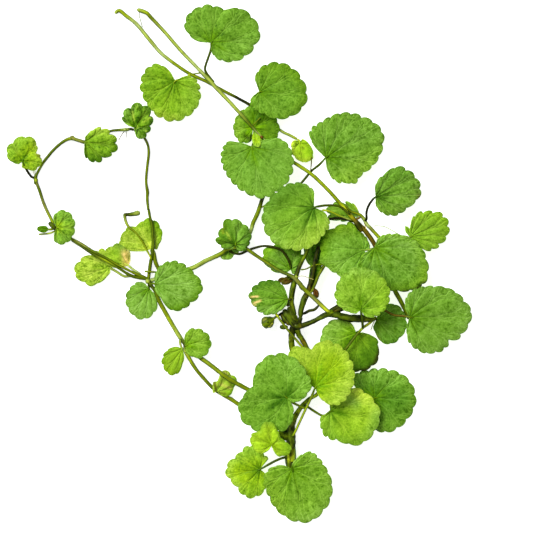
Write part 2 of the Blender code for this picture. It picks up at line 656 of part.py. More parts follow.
# The runner through the middle, from the left loop's node to the crown.
stem(
    "runner_middle",
    [(149.0, 281.0, 1.1), (154.0, 279.4, 1.0), (170.0, 273.5, 1.0), (191.5, 267.5, 1.0), (205.0, 260.0, 1.0),
     (220.0, 253.0, 1.2), (226.0, 249.8, 1.5), (235.0, 247.0, 2.0), (244.0, 247.6, 2.5), (250.3, 251.0, 2.8),
     (261.7, 258.8, 3.6), (272.4, 266.4, 4.6), (280.0, 271.0, 5.6), (288.5, 274.8, 6.8), (296.4, 278.4, 7.2),
     (305.8, 289.2, 7.3), (315.0, 297.5, 7.3), (327.0, 309.0, 6.9)],
    [1.0, 0.8, 0.75, 0.75, 0.75, 0.75, 0.8, 0.9, 0.8, 0.7, 0.7, 0.7, 0.7, 0.7, 0.75, 0.7, 0.7, 0.7],
    runner_tissue,
)

# The two runners to the lower left, which end beside the trunk.
stem(
    "runner_low_left",
    [(151.8, 286.4, 2.1), (154.8, 290.4, 2.2), (160.9, 303.0, 1.8), (169.6, 318.8, 1.1), (179.5, 335.7, 0.9),
     (184.8, 344.6, 0.9), (185.0, 350.4, 0.9), (189.3, 358.0, 0.9), (196.4, 369.6, 0.9), (205.4, 380.4, 0.9),
     (214.3, 389.3, 0.9), (224.1, 395.5, 0.9), (232.1, 399.1, 0.9), (240.2, 404.5, 0.9), (255.0, 414.0, 1.0),
     (270.0, 422.0, 1.2), (280.0, 426.6, 1.4)],
    0.7,
    runner_tissue,
)
stem(
    "runner_low_right",
    [(190.0, 351.2, 1.2), (195.0, 354.0, 1.3), (201.8, 358.6, 1.6), (212.5, 366.0, 3.0), (223.2, 374.0, 4.2),
     (233.9, 382.0, 4.0), (247.3, 389.3, 3.0), (262.0, 397.6, 1.8), (277.0, 406.6, 1.4), (289.0, 414.0, 1.5)],
    0.7,
    runner_tissue,
)

# The loop at the left, in three stretches. Two stems run side by side in the lowest one.
stem(
    "runner_loop_low",
    [(144.4, 278.4, 1.2), (138.0, 275.4, 2.2), (131.2, 271.6, 2.8), (117.8, 264.9, 3.0), (106.4, 258.2, 3.0),
     (93.9, 250.5, 2.4), (81.5, 243.0, 1.3), (70.4, 237.6, 0.8), (56.0, 229.2, 0.8), (52.0, 221.6, 0.8),
     (43.9, 205.3, 0.8), (38.8, 191.0, 0.8), (36.0, 183.2, 0.8)],
    [0.6, 0.55, 0.5, 0.5, 0.5, 0.5, 0.55, 0.6, 0.65, 0.6, 0.6, 0.6, 0.6],
    runner_tissue,
    [
        (
            [(139.0, 277.6, 2.0), (130.6, 274.1, 2.7), (117.2, 267.3, 2.9), (105.8, 260.6, 2.9), (93.3, 252.8, 2.3),
             (80.9, 245.0, 1.3), (71.6, 239.4, 0.8)],
            0.5,
        ),
        ([(57.0, 230.2, 0.8), (50.0, 233.2, 0.8), (45.0, 233.9, 0.8), (38.4, 234.4, 0.8)], 0.35),
        ([(53.4, 224.2, 0.8), (49.6, 222.6, 0.9)], 0.5),
    ],
)
stem(
    "runner_loop_far",
    [(36.0, 177.4, 0.8), (37.4, 173.0, 0.8), (41.6, 165.5, 0.9), (46.0, 159.4, 1.0), (54.1, 149.2, 1.1),
     (63.3, 141.0, 1.1), (71.4, 137.4, 1.1), (79.6, 140.0, 1.1), (86.0, 142.6, 1.1), (97.0, 138.0, 1.0),
     (109.2, 130.8, 0.9), (117.3, 129.8, 0.9), (126.0, 129.8, 0.9), (130.6, 129.0, 0.9)],
    [0.55, 0.55, 0.5, 0.5, 0.5, 0.55, 0.65, 0.55, 0.6, 0.5, 0.5, 0.5, 0.6, 0.5],
    runner_tissue,
)
stem(
    "runner_loop_side",
    [(137.4, 131.8, 0.9), (144.4, 137.0, 0.9), (148.2, 145.0, 0.9), (148.8, 153.3, 0.9), (146.9, 169.6, 0.8),
     (146.4, 181.8, 0.8), (147.6, 192.0, 0.8), (147.4, 198.2, 0.9), (149.0, 209.4, 1.9), (150.8, 219.0, 2.5),
     (152.0, 225.7, 2.6), (153.1, 241.0, 2.8), (153.0, 251.2, 2.4), (150.6, 264.6, 1.4), (149.0, 275.2, 0.9)],
    [0.5, 0.5, 0.5, 0.5, 0.5, 0.5, 0.65, 0.55, 0.55, 0.55, 0.55, 0.55, 0.6, 0.6, 0.55],
    runner_tissue,
    [([(153.0, 247.0, 2.6), (154.6, 251.2, 2.2), (156.4, 259.8, 1.6), (159.6, 268.6, 1.2)], 0.4)],
)
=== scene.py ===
"""Japanese cress, picked and laid on a white table.

A creeping water plant: thin runners branch from a knotted crown and carry round, scalloped leaves
on stalks. It is seen from straight above. Every place is (across, down) in pixels of that plan,
with a height above the table in millimetres.
"""

import math

import bmesh
import bpy
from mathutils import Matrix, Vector, noise


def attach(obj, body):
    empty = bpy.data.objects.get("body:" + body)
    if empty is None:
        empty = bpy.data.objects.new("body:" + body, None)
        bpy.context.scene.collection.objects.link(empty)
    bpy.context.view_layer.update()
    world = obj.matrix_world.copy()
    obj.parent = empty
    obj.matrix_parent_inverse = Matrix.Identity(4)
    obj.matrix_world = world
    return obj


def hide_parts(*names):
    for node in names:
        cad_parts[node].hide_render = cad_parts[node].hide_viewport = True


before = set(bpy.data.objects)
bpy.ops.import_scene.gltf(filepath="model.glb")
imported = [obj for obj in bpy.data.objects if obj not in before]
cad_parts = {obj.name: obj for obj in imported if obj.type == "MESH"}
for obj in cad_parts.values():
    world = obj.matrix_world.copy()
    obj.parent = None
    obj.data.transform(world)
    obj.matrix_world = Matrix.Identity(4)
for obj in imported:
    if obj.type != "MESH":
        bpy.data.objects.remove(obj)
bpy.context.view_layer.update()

# Crown and trunk.
# The old, woody middle of the plant: a purplish-brown knot that the stems grow out of, a thick side
# stem, and the trunk that thickens on its way down. Tough living stem with a thin olive skin.
MM = 0.001
PIXEL = 0.0004
VIEW_HEIGHT = 0.70
VIEW_PIXEL = (270.0, 270.0)
ORIGIN_PIXEL = (239.8, 265.1)


def spot(across, down, height):
    """The point at a pixel of the plan and at a height in millimetres."""
    closer = 1 - height * MM / VIEW_HEIGHT
    x = (across - VIEW_PIXEL[0]) * closer + VIEW_PIXEL[0] - ORIGIN_PIXEL[0]
    y = (down - VIEW_PIXEL[1]) * closer + VIEW_PIXEL[1] - ORIGIN_PIXEL[1]
    return Vector((x * PIXEL, -y * PIXEL, height * MM))


def linear(code):
    """The linear colour of an sRGB hex value."""
    parts = [int(code[k:k + 2], 16) / 255 for k in (1, 3, 5)]
    return Vector([c / 12.92 if c < 0.04045 else ((c + 0.055) / 1.055) ** 2.4 for c in parts])


def ease(low, high, value):
    """0 below low and 1 above high, with a smooth rise between them."""
    t = min(1.0, max(0.0, (value - low) / (high - low)))
    return t * t * (3 - 2 * t)


def add(tree, kind, inputs=(), **settings):
    """Adds a shader node. A node or a socket among its inputs is linked, and any other value is set."""
    made = tree.nodes.new("ShaderNode" + kind)
    for key, value in settings.items():
        setattr(made, key, value)
    for key, value in dict(inputs).items():
        if isinstance(value, bpy.types.Node):
            value = value.outputs[0]
        if isinstance(value, bpy.types.NodeSocket):
            tree.links.new(value, made.inputs[key])
        else:
            made.inputs[key].default_value = value
    return made


# Stem colours, from the crown's dark old skin to a young runner in the light, and of dry bark and straw.
COAL = linear("#161A03")
FIR = linear("#2C3304")
UMBER = linear("#3E4F05")
PEAT = linear("#59500B")
BRONZE = linear("#4E6204")
BRACKEN = linear("#5E6F08")
KHAKI = linear("#6D7F0B")
SEDGE = linear("#70783B")
REED = linear("#839716")
LEEK = linear("#8EA14A")
CITRON = linear("#A9B928")
RUSH = linear("#9FB275")
LEMON = linear("#D1DE24")
CREAM = linear("#E2E773")
BARK = linear("#55460C")
RUST = linear("#6E4A1A")
STRAW = linear("#C6BC84")

# Fine fibres, 0.3 mm broad, so 14 round a runner, and 4 mm long. The colour drifts over 2.4 mm.
FIBRES_ROUND = 14.0
FIBRE_LENGTH = 4.0
DRIFT = 2.4
FIBRE_RELIEF = 0.08


def stem_skin(name, rough, streak):
    """Thin waxy skin of a living stem: satin, with fine lengthwise fibres that vary its colour."""
    made = bpy.data.materials.new(name)
    made.use_nodes = True
    tree = made.node_tree
    shader = tree.nodes["Principled BSDF"]
    tint = add(tree, "Attribute", attribute_name="tint")
    place = add(tree, "UVMap", uv_map="skin")
    fibres = add(tree, "Mapping", {"Vector": place, "Scale": (FIBRES_ROUND, 1 / FIBRE_LENGTH, 1.0)})
    grain = add(tree, "TexNoise", {"Vector": fibres, "Scale": 1.0, "Detail": 3.0})
    where = add(tree, "TexCoord").outputs["Object"]
    cloud = add(tree, "TexNoise", {"Vector": where, "Scale": 1 / (DRIFT * MM), "Detail": 3.0})
    both = add(tree, "Math", {0: grain, 1: cloud}, operation="ADD")
    spread = add(
        tree, "MapRange",
        {"Value": both, "From Min": 0.75, "From Max": 1.25, "To Min": 1 - streak, "To Max": 1 + streak},
    )
    colour = add(tree, "VectorMath", {0: tint.outputs["Color"], 3: spread}, operation="SCALE")
    tree.links.new(colour.outputs[0], shader.inputs["Base Color"])
    relief = add(tree, "Bump", {"Height": grain, "Strength": 0.5, "Distance": FIBRE_RELIEF * MM})
    tree.links.new(relief.outputs[0], shader.inputs["Normal"])
    shader.inputs["Roughness"].default_value = rough
    shader.inputs["Specular IOR Level"].default_value = 0.08
    return made


# A young stem's skin is smooth and even. The crown's is duller, and strongly streaked with age.
runner_skin = stem_skin("runner_skin", 0.42, 0.28)
crown_skin = stem_skin("crown_skin", 0.5, 0.85)


def smooth_route(route):
    """Points, radii and colours on a smooth curve through the route, with the distance along it."""
    places = [spot(*point[:3]) for point in route]
    radii = []
    hues = []
    for point in route:
        radii.append(point[3] * MM if len(point) > 3 else radii[-1])
        hues.append(point[4] if len(point) > 4 else hues[-1])
    rows = []
    last = len(route) - 1
    for k in range(last):
        near = [places[max(k - 1, 0)], places[k], places[k + 1], places[min(k + 2, last)]]
        for step in range(8 if k < last - 1 else 9):
            t = step / 8
            curve = near[1] * 2 + (near[2] - near[0]) * t
            curve += (near[0] * 2 - near[1] * 5 + near[2] * 4 - near[3]) * t ** 2
            curve += (near[1] * 3 - near[0] - near[2] * 3 + near[3]) * t ** 3
            blend = t * t * (3 - 2 * t)
            radius = radii[k] + (radii[k + 1] - radii[k]) * blend
            rows.append((curve / 2, radius, hues[k].lerp(hues[k + 1], blend)))
    along = [0.0]
    for one, two in zip(rows, rows[1:]):
        along.append(along[-1] + (two[0] - one[0]).length)
    return rows, along


# A stem's rings stand 0.55 mm apart. Its skin has 5 low ribs, knots about 1.6 mm across and stripes
# that sway over 4 mm; the stripes are partly its own streaks and partly painted shade in the grooves
# between the ribs. Its colour carries painted shade at its sides, where it turns down, and a painted
# highlight along its top.
RING_GAP = 0.55
RIBS = 5
RIB_DEPTH = 0.02
KNOT = 1.6
STRIPE_SWAY = 4
PAINTED_SIDE_SHADE = Vector((0.17, 0.36, 0.02))
PAINTED_TOP_LIGHT = Vector((1.40, 1.32, 0.90))


def tube(shape, route, knotty=0.04, sides=12, skin=0):
    """Adds a closed round stem to the mesh, through points of (across, down, height, radius, colour).

    Where a point leaves out its radius or its colour, that stays as it was at the point before.
    """
    rows, along = smooth_route(route)
    whole = along[-1]
    ends = [min(rows[0][1], whole / 4), min(rows[-1][1], whole / 4)]
    steps = max(2, round(whole / (RING_GAP * MM)))
    stations = [0.0, 0.1 * ends[0], 0.4 * ends[0]]
    stations += [ends[0] + (whole - ends[0] - ends[1]) * k / steps for k in range(steps + 1)]
    stations += [whole - 0.4 * ends[1], whole - 0.1 * ends[1], whole]
    rings = []
    k = 0
    for station in stations:
        while k < len(along) - 2 and along[k + 1] < station:
            k += 1
        t = (station - along[k]) / (along[k + 1] - along[k])
        middle = rows[k][0].lerp(rows[k + 1][0], t)
        ahead = (rows[k + 1][0] - rows[k][0]).normalized()
        radius = rows[k][1] + (rows[k + 1][1] - rows[k][1]) * t
        for end, gap in zip(ends, (station, whole - station)):
            if gap < end:
                radius *= math.sqrt(max(0.0, 1 - (1 - gap / end) ** 2))
        rings.append((middle, ahead, radius, rows[k][2].lerp(rows[k + 1][2], t)))
    tint = shape.verts.layers.float_color["tint"]
    uv = shape.loops.layers.uv["skin"]
    wall = bmesh.ops.create_grid(shape, x_segments=sides, y_segments=len(rings) - 1, size=0.5)["verts"]
    laid = {}
    for vert in wall:
        turn = vert.co.x + 0.5
        row = round((vert.co.y + 0.5) * (len(rings) - 1))
        middle, ahead, radius, hue = rings[row]
        side = ahead.cross(Vector((0, 0, 1))).normalized()
        up = side.cross(ahead)
        out = side * math.cos(math.tau * turn) + up * math.sin(math.tau * turn)
        knot = noise.noise((middle + out * radius) / (KNOT * MM)) * knotty * 2
        vert.co = middle + out * radius * (1 + (knot + math.cos(math.tau * turn * RIBS) * RIB_DEPTH))
        # Painted shade at the sides and a painted highlight along the top. The stripes add painted shade in the
        # grooves as well as the skin's own streaks.
        shade = PAINTED_SIDE_SHADE.lerp(PAINTED_TOP_LIGHT, ease(0.35, 1.05, out.z))
        sway = 0.3 * noise.noise(middle / (STRIPE_SWAY * MM))
        shade *= 1 + 4 * knotty * math.cos(math.tau * (turn * RIBS + sway))
        vert[tint] = (hue.x * shade.x, hue.y * shade.y, hue.z * shade.z, 1.0)
        laid[vert] = (turn, stations[row] / MM)
    for face in {face for vert in wall for face in vert.link_faces}:
        face.material_index = skin
        face.smooth = True
        for corner in face.loops:
            corner[uv].uv = laid[corner.vert]
    bmesh.ops.remove_doubles(shape, verts=wall, dist=1e-6)


def new_shape():
    """An empty mesh whose points carry a colour, and whose faces carry a flat map of the skin."""
    shape = bmesh.new()
    shape.verts.layers.float_color.new("tint")
    shape.verts.layers.float.new("girth")
    shape.loops.layers.uv.new("skin")
    return shape


def finish_piece(name, shape, skins, stands_for=True):
    """Makes the piece from its mesh. It rides on the plant's one body, in place of its CAD node."""
    bmesh.ops.recalc_face_normals(shape, faces=shape.faces)
    mesh = bpy.data.meshes.new(name)
    shape.to_mesh(mesh)
    shape.free()
    for skin in skins:
        mesh.materials.append(skin)
    piece = bpy.data.objects.new(f"{name}_grown", mesh)
    bpy.context.scene.collection.objects.link(piece)
    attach(piece, "root")
    if stands_for:
        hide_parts(name)


def stem(name, slot, route, branches=(), knotty=0.04):
    """A stem with its branches, as one piece."""
    shape = new_shape()
    for way in (route, *branches):
        tube(shape, way, knotty)
    finish_piece(name, shape, [crown_skin if slot == "crown" else runner_skin])


stem("crown", "crown",
    [(284, 310.5, 4, 1.6, UMBER), (291.2, 319.7, 4.4, 1.9), (296.4, 325.6, 4.6, 1.9, FIR),
     (301.7, 325.7, 4.8, 1.1), (314.1, 321, 5, 0.92, UMBER), (326.1, 314.8, 5, 1.15), (336, 314.6, 5, 1.4),
     (346, 317.6, 5, 1.5), (360, 318.6, 5, 1.6, FIR), (375, 318.4, 5, 1.2, KHAKI)],
    [[(296, 324, 4.6, 1.3, FIR), (294.8, 314.6, 4.5, 0.95, KHAKI)],
     [(294.6, 324, 4.4, 1.4, COAL), (292, 332, 4, 1.3, FIR), (291.4, 340.4, 3.4, 1.25, KHAKI),
      (292.4, 351, 2.8, 1.2), (294, 367, 2.3, 1), (297.6, 383, 2.1, 0.9), (300, 397, 2.1)],
     [(327, 314, 5, 0.9, FIR), (334, 309, 5, 1), (341, 305, 5), (348, 302, 5, 0.9)],
     [(281.2, 313.4, 3.4, 0.7, BARK), (284.6, 318.6, 3.9, 1.1, UMBER), (291, 324.6, 4.4, 1.3, BARK)],
     [(283, 309.6, 3.8, 1.1, UMBER), (288, 315, 4.3, 1.5, COAL), (294.6, 324, 4.8)],
     [(288.6, 306.4, 4.4, 1.2, BRACKEN), (291.6, 313.4, 4.7, 1.3, UMBER), (295.6, 322, 5, 1.3, BRACKEN)],
     [(290.6, 322, 4.6, 1.1, PEAT), (296.6, 326.2, 5.1, 1.5, UMBER), (302.5, 325.4, 5, 0.9, PEAT)],
     # A tiny pale bead on top of the knot is a painted highlight.
     [(294.8, 324.6, 6.2, 0.25, BARK), (295.6, 325.4, 6.45, 0.27, RUSH), (296.6, 326, 6.2, 0.25, BARK)],
     [(298, 327, 4.8, 1.1, BRONZE), (299.6, 321.6, 4.8, 0.95, COAL), (300.7, 316, 4.8, 0.95, UMBER)],
     [(280, 325.8, 3.6, 0.5, COAL), (282.8, 327.2, 3.8, 0.95, UMBER), (288, 326.6, 4.2, 0.7, KHAKI)],
     [(297, 327.6, 4.6, 1.2, KHAKI), (299, 334.4, 4.1, 1.1, BRONZE), (302.6, 340.4, 3.7, 1.1, REED)],
     [(326.8, 314.4, 5.2, 0.8, BRONZE), (330.4, 312.6, 5.5, 1.3), (334, 312.6, 5.4, 0.9, KHAKI)],
     [(332.6, 311.6, 4.9, 1, PEAT), (339, 309.6, 4.8, 1.15, FIR), (347, 306.6, 4.6, 1, COAL)]],
    knotty=0.08)
stem("trunk", "crown",
    [(297.4, 329, 4.4, 0.9, KHAKI), (298.6, 333.6, 4, 0.85), (303, 341, 3.5, 1.05, PEAT),
     (307.6, 349.5, 3.1, 0.95, KHAKI), (315, 362, 2.6, 0.8), (321, 378, 2.2, 0.75),
     (318, 393, 2, 0.75, CITRON), (309, 399.2, 2, 0.8, REED), (301.4, 406.7, 2.1, 0.9),
     (295.4, 416, 2.2, 1.1), (292.2, 425, 2.2, 1.3, SEDGE), (290.8, 435, 2.4, 1.9, UMBER), (291, 444, 2.4),
     (290.4, 456, 2.45, 2.3, CITRON), (290.8, 464, 2.3, 2.2, UMBER), (292, 472.6, 1.7, 1.3)],
    [[(290.6, 436, 2.3, 1.6, FIR), (285, 435.8, 2.3, 1.9, BRONZE), (279.6, 433.8, 2.2, 1.5, KHAKI),
      (276.8, 432.6, 2.1, 0.8)]],
    knotty=0.07)

# Stems that leave the crown, or cross it.
# Two old stems run up under the leaves and two young ones lie over the crown. They have the same
# skin as the runners, darker where they are old.
stem("stem_crown_left", "crown",
    [(294.6, 316, 4.6, 0.9, UMBER), (293.4, 310.2, 4.4, 0.95), (291.4, 303, 4.5, 1.1, KHAKI),
     (291.8, 294, 4.6, 1.18, BRONZE), (294.2, 282.4, 4.6), (298.3, 269.4, 4.6, 0.85, FIR),
     (301.7, 261.8, 4.6, 0.8, BRONZE), (305.4, 254.2, 4.7, 0.75), (308.4, 247.3, 4.8, 0.7, UMBER),
     (311, 238, 4.8)])
stem("stem_crown_right", "crown",
    [(300.8, 317.4, 4.7, 0.85, UMBER), (300.8, 310.9, 4.6, 1.08), (304, 299.9, 4.6, 1.28),
     (308.2, 291, 4.5, 1.1, PEAT), (311.2, 281, 4.4, 1.1, FIR), (313.8, 267.7, 4.2, 1), (316, 256, 4, 0.8),
     (318.8, 246, 3.6, 0.7, COAL)],
    [[(308, 292.6, 4.5, 0.65, CREAM), (311.6, 291, 4.5, 0.65, BRACKEN), (314.6, 284.8, 4.5),
      (318.4, 275.3, 4.3), (323.4, 266.9, 4), (328, 259, 3.6)],
     [(300.8, 314.6, 4.6, 0.4, COAL), (305.6, 312.7, 4.5, 0.6), (309.1, 310.8, 4.4, 0.59, FIR),
      (314.5, 309.6, 4.4, 0.58), (318.7, 305.5, 4.4, 0.45)]])
stem("stem_over_crown", "runner",
    [(270, 306.5, 4.4, 0.5, CITRON), (275.2, 312.8, 5, 0.5, LEMON), (280, 319.6, 6, 0.5, BRACKEN),
     (285.6, 327, 6.9), (293, 336, 6.4), (301.2, 345.7, 5.6, 0.5, REED), (307, 353, 5.2, 0.5, CITRON)])
stem("stem_diagonal", "runner",
    [(376.4, 316.8, 4.9, 0.6, KHAKI), (368.4, 324, 4.4, 0.55, CITRON), (362.8, 328, 4.9, 0.55, REED),
     (355.9, 335.8, 5.2, 0.55, BRONZE), (346.7, 348, 5.2), (340, 357, 4.8)])
stem("stem_right", "runner",
    [(345.4, 205, 6.4, 0.5, BRONZE), (350, 210.8, 6.4, 0.55), (355.4, 213, 6.3, 0.6, KHAKI),
     (360.6, 215.2, 6.2, 0.62), (364.2, 219.2, 6, 0.75, LEEK), (367, 224.4, 5.8, 0.75, RUSH),
     (371, 228.6, 5.6, 0.76, SEDGE), (375.7, 233.7, 5.4, 0.73, REED), (382.1, 240.5, 4.8, 0.69, CITRON)])
stem("stem_upper", "runner",
    [(267, 190, 2.2, 0.75, BRACKEN), (262.5, 198.3, 2, 0.75, FIR), (258.4, 211.2, 1.6, 0.91, KHAKI),
     (253.2, 222.7, 1.3, 0.87), (250.4, 232, 1.2, 0.81, RUSH), (244.6, 242, 1.2, 0.65, KHAKI),
     (243.9, 246.4, 2, 0.6)],
    [[(259.6, 208.6, 1.7, 0.3, UMBER), (263, 206.6, 1.9, 0.3, REED), (266.8, 204.2, 2, 0.3, BRONZE)]])

# Long runners.
# Thin juicy stems that creep outwards and root at their nodes. They are pale yellow-green where they
# were in the light, and each grows out of the crown or out of another runner.
stem("runner_top_left", "runner",
    [(114.8, 13.6, 0.7, 0.65, LEEK), (119.2, 10.5, 0.7, 0.8, REED), (126.2, 15.8, 0.8),
     (136.8, 24.3, 1, 0.78, RUSH), (148.7, 38.7, 1.1, 0.8, LEEK), (160.7, 52.7, 1, 0.73, RUSH),
     (174.6, 63.7, 0.8, 0.7, REED), (189.7, 73.6, 0.7, 0.69, KHAKI), (206, 81.3, 0.7, 0.67),
     (224.3, 91.1, 0.7, 0.64), (239.3, 98.9, 0.8, 0.6, COAL), (253.9, 107.8, 0.9, 0.62, FIR),
     (279, 129.3, 1, 0.56, LEEK), (290.1, 135.3, 1.2, 0.58), (297.3, 139.2, 1.2, 0.53, CITRON)])
stem("runner_top_right", "runner",
    [(137, 10.6, 0.8, 0.5, BRACKEN), (139, 10.1, 0.8, 0.85, LEEK), (146.7, 12.9, 0.9, 0.85, REED),
     (151.2, 17.6, 1.1, 0.79, BRACKEN), (165.4, 32.8, 1.6, 0.72, LEEK), (180.5, 50.3, 2),
     (196.4, 66.8, 2.2, 0.71, RUSH), (208.7, 79.5, 2.5, 0.85, LEEK), (217.5, 89.2, 2.6, 0.8),
     (234.3, 106.9, 3.8, 0.75), (250.7, 125.4, 4.6, 0.64, BRONZE), (262, 137.3, 4.9, 0.2, RUSH),
     (276, 148, 5, 0.4, KHAKI), (291.9, 161, 5, 0.7, REED), (310.3, 173.3, 5, 0.77), (324.6, 186.4, 5, 0.75),
     (338.2, 201.1, 5, 0.77, KHAKI), (347, 211.4, 5, 0.85, LEMON), (355.4, 221, 5, 1, PEAT),
     (365.4, 231, 4.9, 0.95), (375.3, 246, 4.7, 0.9, BARK), (384, 268, 3.8, 0.75, PEAT),
     (395.5, 291.4, 3, 0.94, BRACKEN), (405.5, 310.4, 2.5, 0.88, BRONZE), (409, 319.4, 2.6, 0.6, COAL)],
    [[(356.4, 222.4, 4.9, 0.5, FIR), (347.8, 219.8, 4.2, 0.5, COAL), (337, 218.3, 3.6), (326, 219.8, 3.4)],
     [(354, 221, 4.9, 0.4, FIR), (346.2, 218.2, 4.4, 0.4, LEEK), (338.6, 215.4, 4, 0.4, REED),
      (330, 211.4, 3.7, 0.4, CITRON), (322, 210, 3.6, 0.4, LEMON)],
     [(354.6, 220, 5.2, 0.9, PEAT), (358.4, 225.6, 5.3, 1.25, FIR), (362.6, 231.6, 5, 0.9, PEAT)],
     [(260.6, 135.8, 5, 0.35, BARK), (261.9, 137.2, 5.2, 0.75, RUST), (262.9, 138.4, 5, 0.35, BARK)]])
stem("runner_middle", "runner",
    [(149, 281, 1.1, 1, REED), (154, 279.4, 1, 0.8, RUSH), (170, 273.5, 1, 0.75),
     (191.8, 268.1, 1, 0.95, LEEK), (205.4, 260.9, 1), (220.5, 254, 1.2, 0.95, KHAKI), (226, 249.8, 1.5, 0.8),
     (235, 247, 2, 0.9, CITRON), (244, 247.6, 2.5, 0.8, BRACKEN), (250.1, 251.3, 2.8, 0.73),
     (261.5, 259.1, 3.6), (272.4, 266.4, 4.6, 0.7), (280, 271, 5.6, 0.7, BRONZE), (288.5, 274.8, 6.8),
     (295.6, 279.1, 7.2, 0.95, SEDGE), (305.1, 289.9, 7.3, 0.9, KHAKI), (314.2, 298.3, 7.3, 0.84, SEDGE),
     (326.2, 309.8, 6.9, 0.84, CITRON), (329.6, 311.6, 5.8, 0.8)],
    # The small pale knob on the node paints its highlight.
    [[(295, 275.6, 7.6, 0.3, KHAKI), (296.4, 276.8, 7.7, 0.55, LEEK), (297.8, 277.6, 7.5, 0.3, CITRON)],
     [(299.8, 282.6, 6.8, 0.4, BRACKEN), (300.9, 286, 6.6, 0.85, REED), (302.8, 290.2, 6.4, 0.5, KHAKI)]])
stem("runner_low_left", "runner",
    [(148.6, 281.2, 1.4, 0.75, KHAKI), (151.8, 286.4, 2.1, 0.7, UMBER), (154.8, 290.4, 2.2),
     (160.4, 303.3, 1.8, 0.9, KHAKI), (169.1, 319.1, 1.1, 0.9, REED), (179.1, 335.9, 0.9, 0.9, LEEK),
     (184.8, 344.6, 0.9, 0.7, UMBER), (185, 350.4, 0.9, 0.7, CREAM), (189.1, 358.1, 0.9, 0.77, REED),
     (196.3, 369.6, 0.9, 0.74, BRACKEN), (205.5, 380.3, 0.9), (214.4, 389.2, 0.9, 0.76, UMBER),
     (224.1, 395.5, 0.9, 0.7, KHAKI), (231.8, 399.6, 0.9, 0.85), (239.9, 405, 0.9), (255, 414, 1, 0.7),
     (270, 422, 1.2), (280, 426.6, 1.4), (288.5, 430, 1.9)],
    [[(146.4, 279.8, 1.4, 0.8, KHAKI), (148, 281.2, 1.8, 1.15, LEEK), (149.8, 283, 1.7, 0.8, KHAKI)],
     [(184.4, 348.2, 1.3, 0.5, FIR), (185.5, 350.8, 1.5, 0.75, CREAM), (186.6, 353.2, 1.3, 0.5, FIR)]])
stem("runner_low_right", "runner",
    [(186.6, 350, 1, 0.6, KHAKI), (190, 351.2, 1.2, 0.7), (195, 354, 1.3), (201.8, 358.7, 1.6, 0.9),
     (212.3, 366.3, 3), (222.8, 374.5, 4.2), (234, 381.8, 4), (247.4, 389.1, 3), (262, 397.6, 1.8, 0.7),
     (277, 406.6, 1.4), (289, 414, 1.5), (294.6, 416.4, 2)])

# The loop at the left.
# One runner that was bent round, in three stretches between its nodes. In the lowest stretch it lies
# beside its own young shoot.
stem("runner_loop_low", "runner",
    [(148.8, 280.6, 1.1, 0.7, KHAKI), (144.6, 277.9, 1.2, 0.8), (138.2, 274.9, 2.2, 0.75),
     (131.2, 271.6, 2.8, 0.5), (117.8, 264.9, 3), (106.4, 258.2, 3, 0.5, BRONZE), (93.3, 251.5, 2.4, 0.59),
     (81.1, 243.8, 1.3, 0.59, SEDGE), (70.1, 238.2, 0.8, 0.6, BRACKEN), (56, 229.2, 0.8, 0.65, FIR),
     (52.2, 221.5, 0.8, 0.64, REED), (44.4, 205.1, 0.8, 0.64, SEDGE), (39.5, 190.7, 0.8, 0.64, BRONZE),
     (36.5, 183, 0.8, 0.68, SEDGE), (36, 180, 0.8, 0.78, PEAT)],
    [[(147.9, 278.9, 1.3, 0.7, BRONZE), (138.9, 277.7, 2), (130.2, 275.3, 2.7, 0.63),
      (117.2, 267.3, 2.9, 0.5), (105.8, 260.6, 2.9, 0.5, REED), (92.7, 253.8, 2.3, 0.58, UMBER),
      (80.4, 245.8, 1.3, 0.5), (71.2, 240, 0.8, 0.43, KHAKI)],
     [(57, 230.2, 0.8, 0.35, COAL), (50, 233.2, 0.8, 0.35, CITRON), (45, 233.9, 0.8, 0.35, KHAKI),
      (38.4, 234.4, 0.8)],
     [(53.4, 224.2, 0.8, 0.5, FIR), (49.6, 222.6, 0.9, 0.5, COAL)],
     [(48.6, 222.4, 1.3, 0.7, COAL), (52.4, 225.6, 1.5, 1, BRONZE), (56.6, 229.6, 1.5, 0.95, COAL)],
     [(34.8, 178.4, 1, 0.6, PEAT), (36.1, 180.4, 1.1, 0.85, REED), (36.4, 182.8, 1, 0.6, SEDGE)]])
stem("runner_loop_far", "runner",
    [(35.9, 184.8, 0.8, 0.8, BRONZE), (35.5, 177.4, 0.8, 0.75), (37.4, 173, 0.8, 0.55),
     (41.6, 165.5, 0.9, 0.5, REED), (45.7, 159.2, 1, 0.63, BRONZE), (54.1, 149.3, 1.1),
     (63.6, 141.4, 1.1, 0.66), (71.2, 138.5, 1.1, 0.72, REED), (79.4, 140.6, 1.1, 0.75, SEDGE),
     (86.2, 142, 1.1, 0.8, BRONZE), (97, 138, 1, 0.5), (109.3, 131.5, 0.9, 0.52, UMBER),
     (117.3, 130.1, 0.9, 0.55, BRONZE), (126, 129.7, 0.9, 0.68, LEEK), (130.6, 129, 0.9, 0.5, COAL),
     (134, 130.2, 0.9, 0.5, UMBER)],
    [[(70.4, 136.4, 1.3, 0.6, COAL), (72.4, 137.6, 1.5, 0.85, SEDGE), (75, 139, 1.3, 0.6, CREAM)],
     [(123.8, 129, 1.1, 0.5, SEDGE), (125, 129.4, 1.3, 0.8, RUSH), (126.4, 129.8, 1.1, 0.5, CITRON)]])
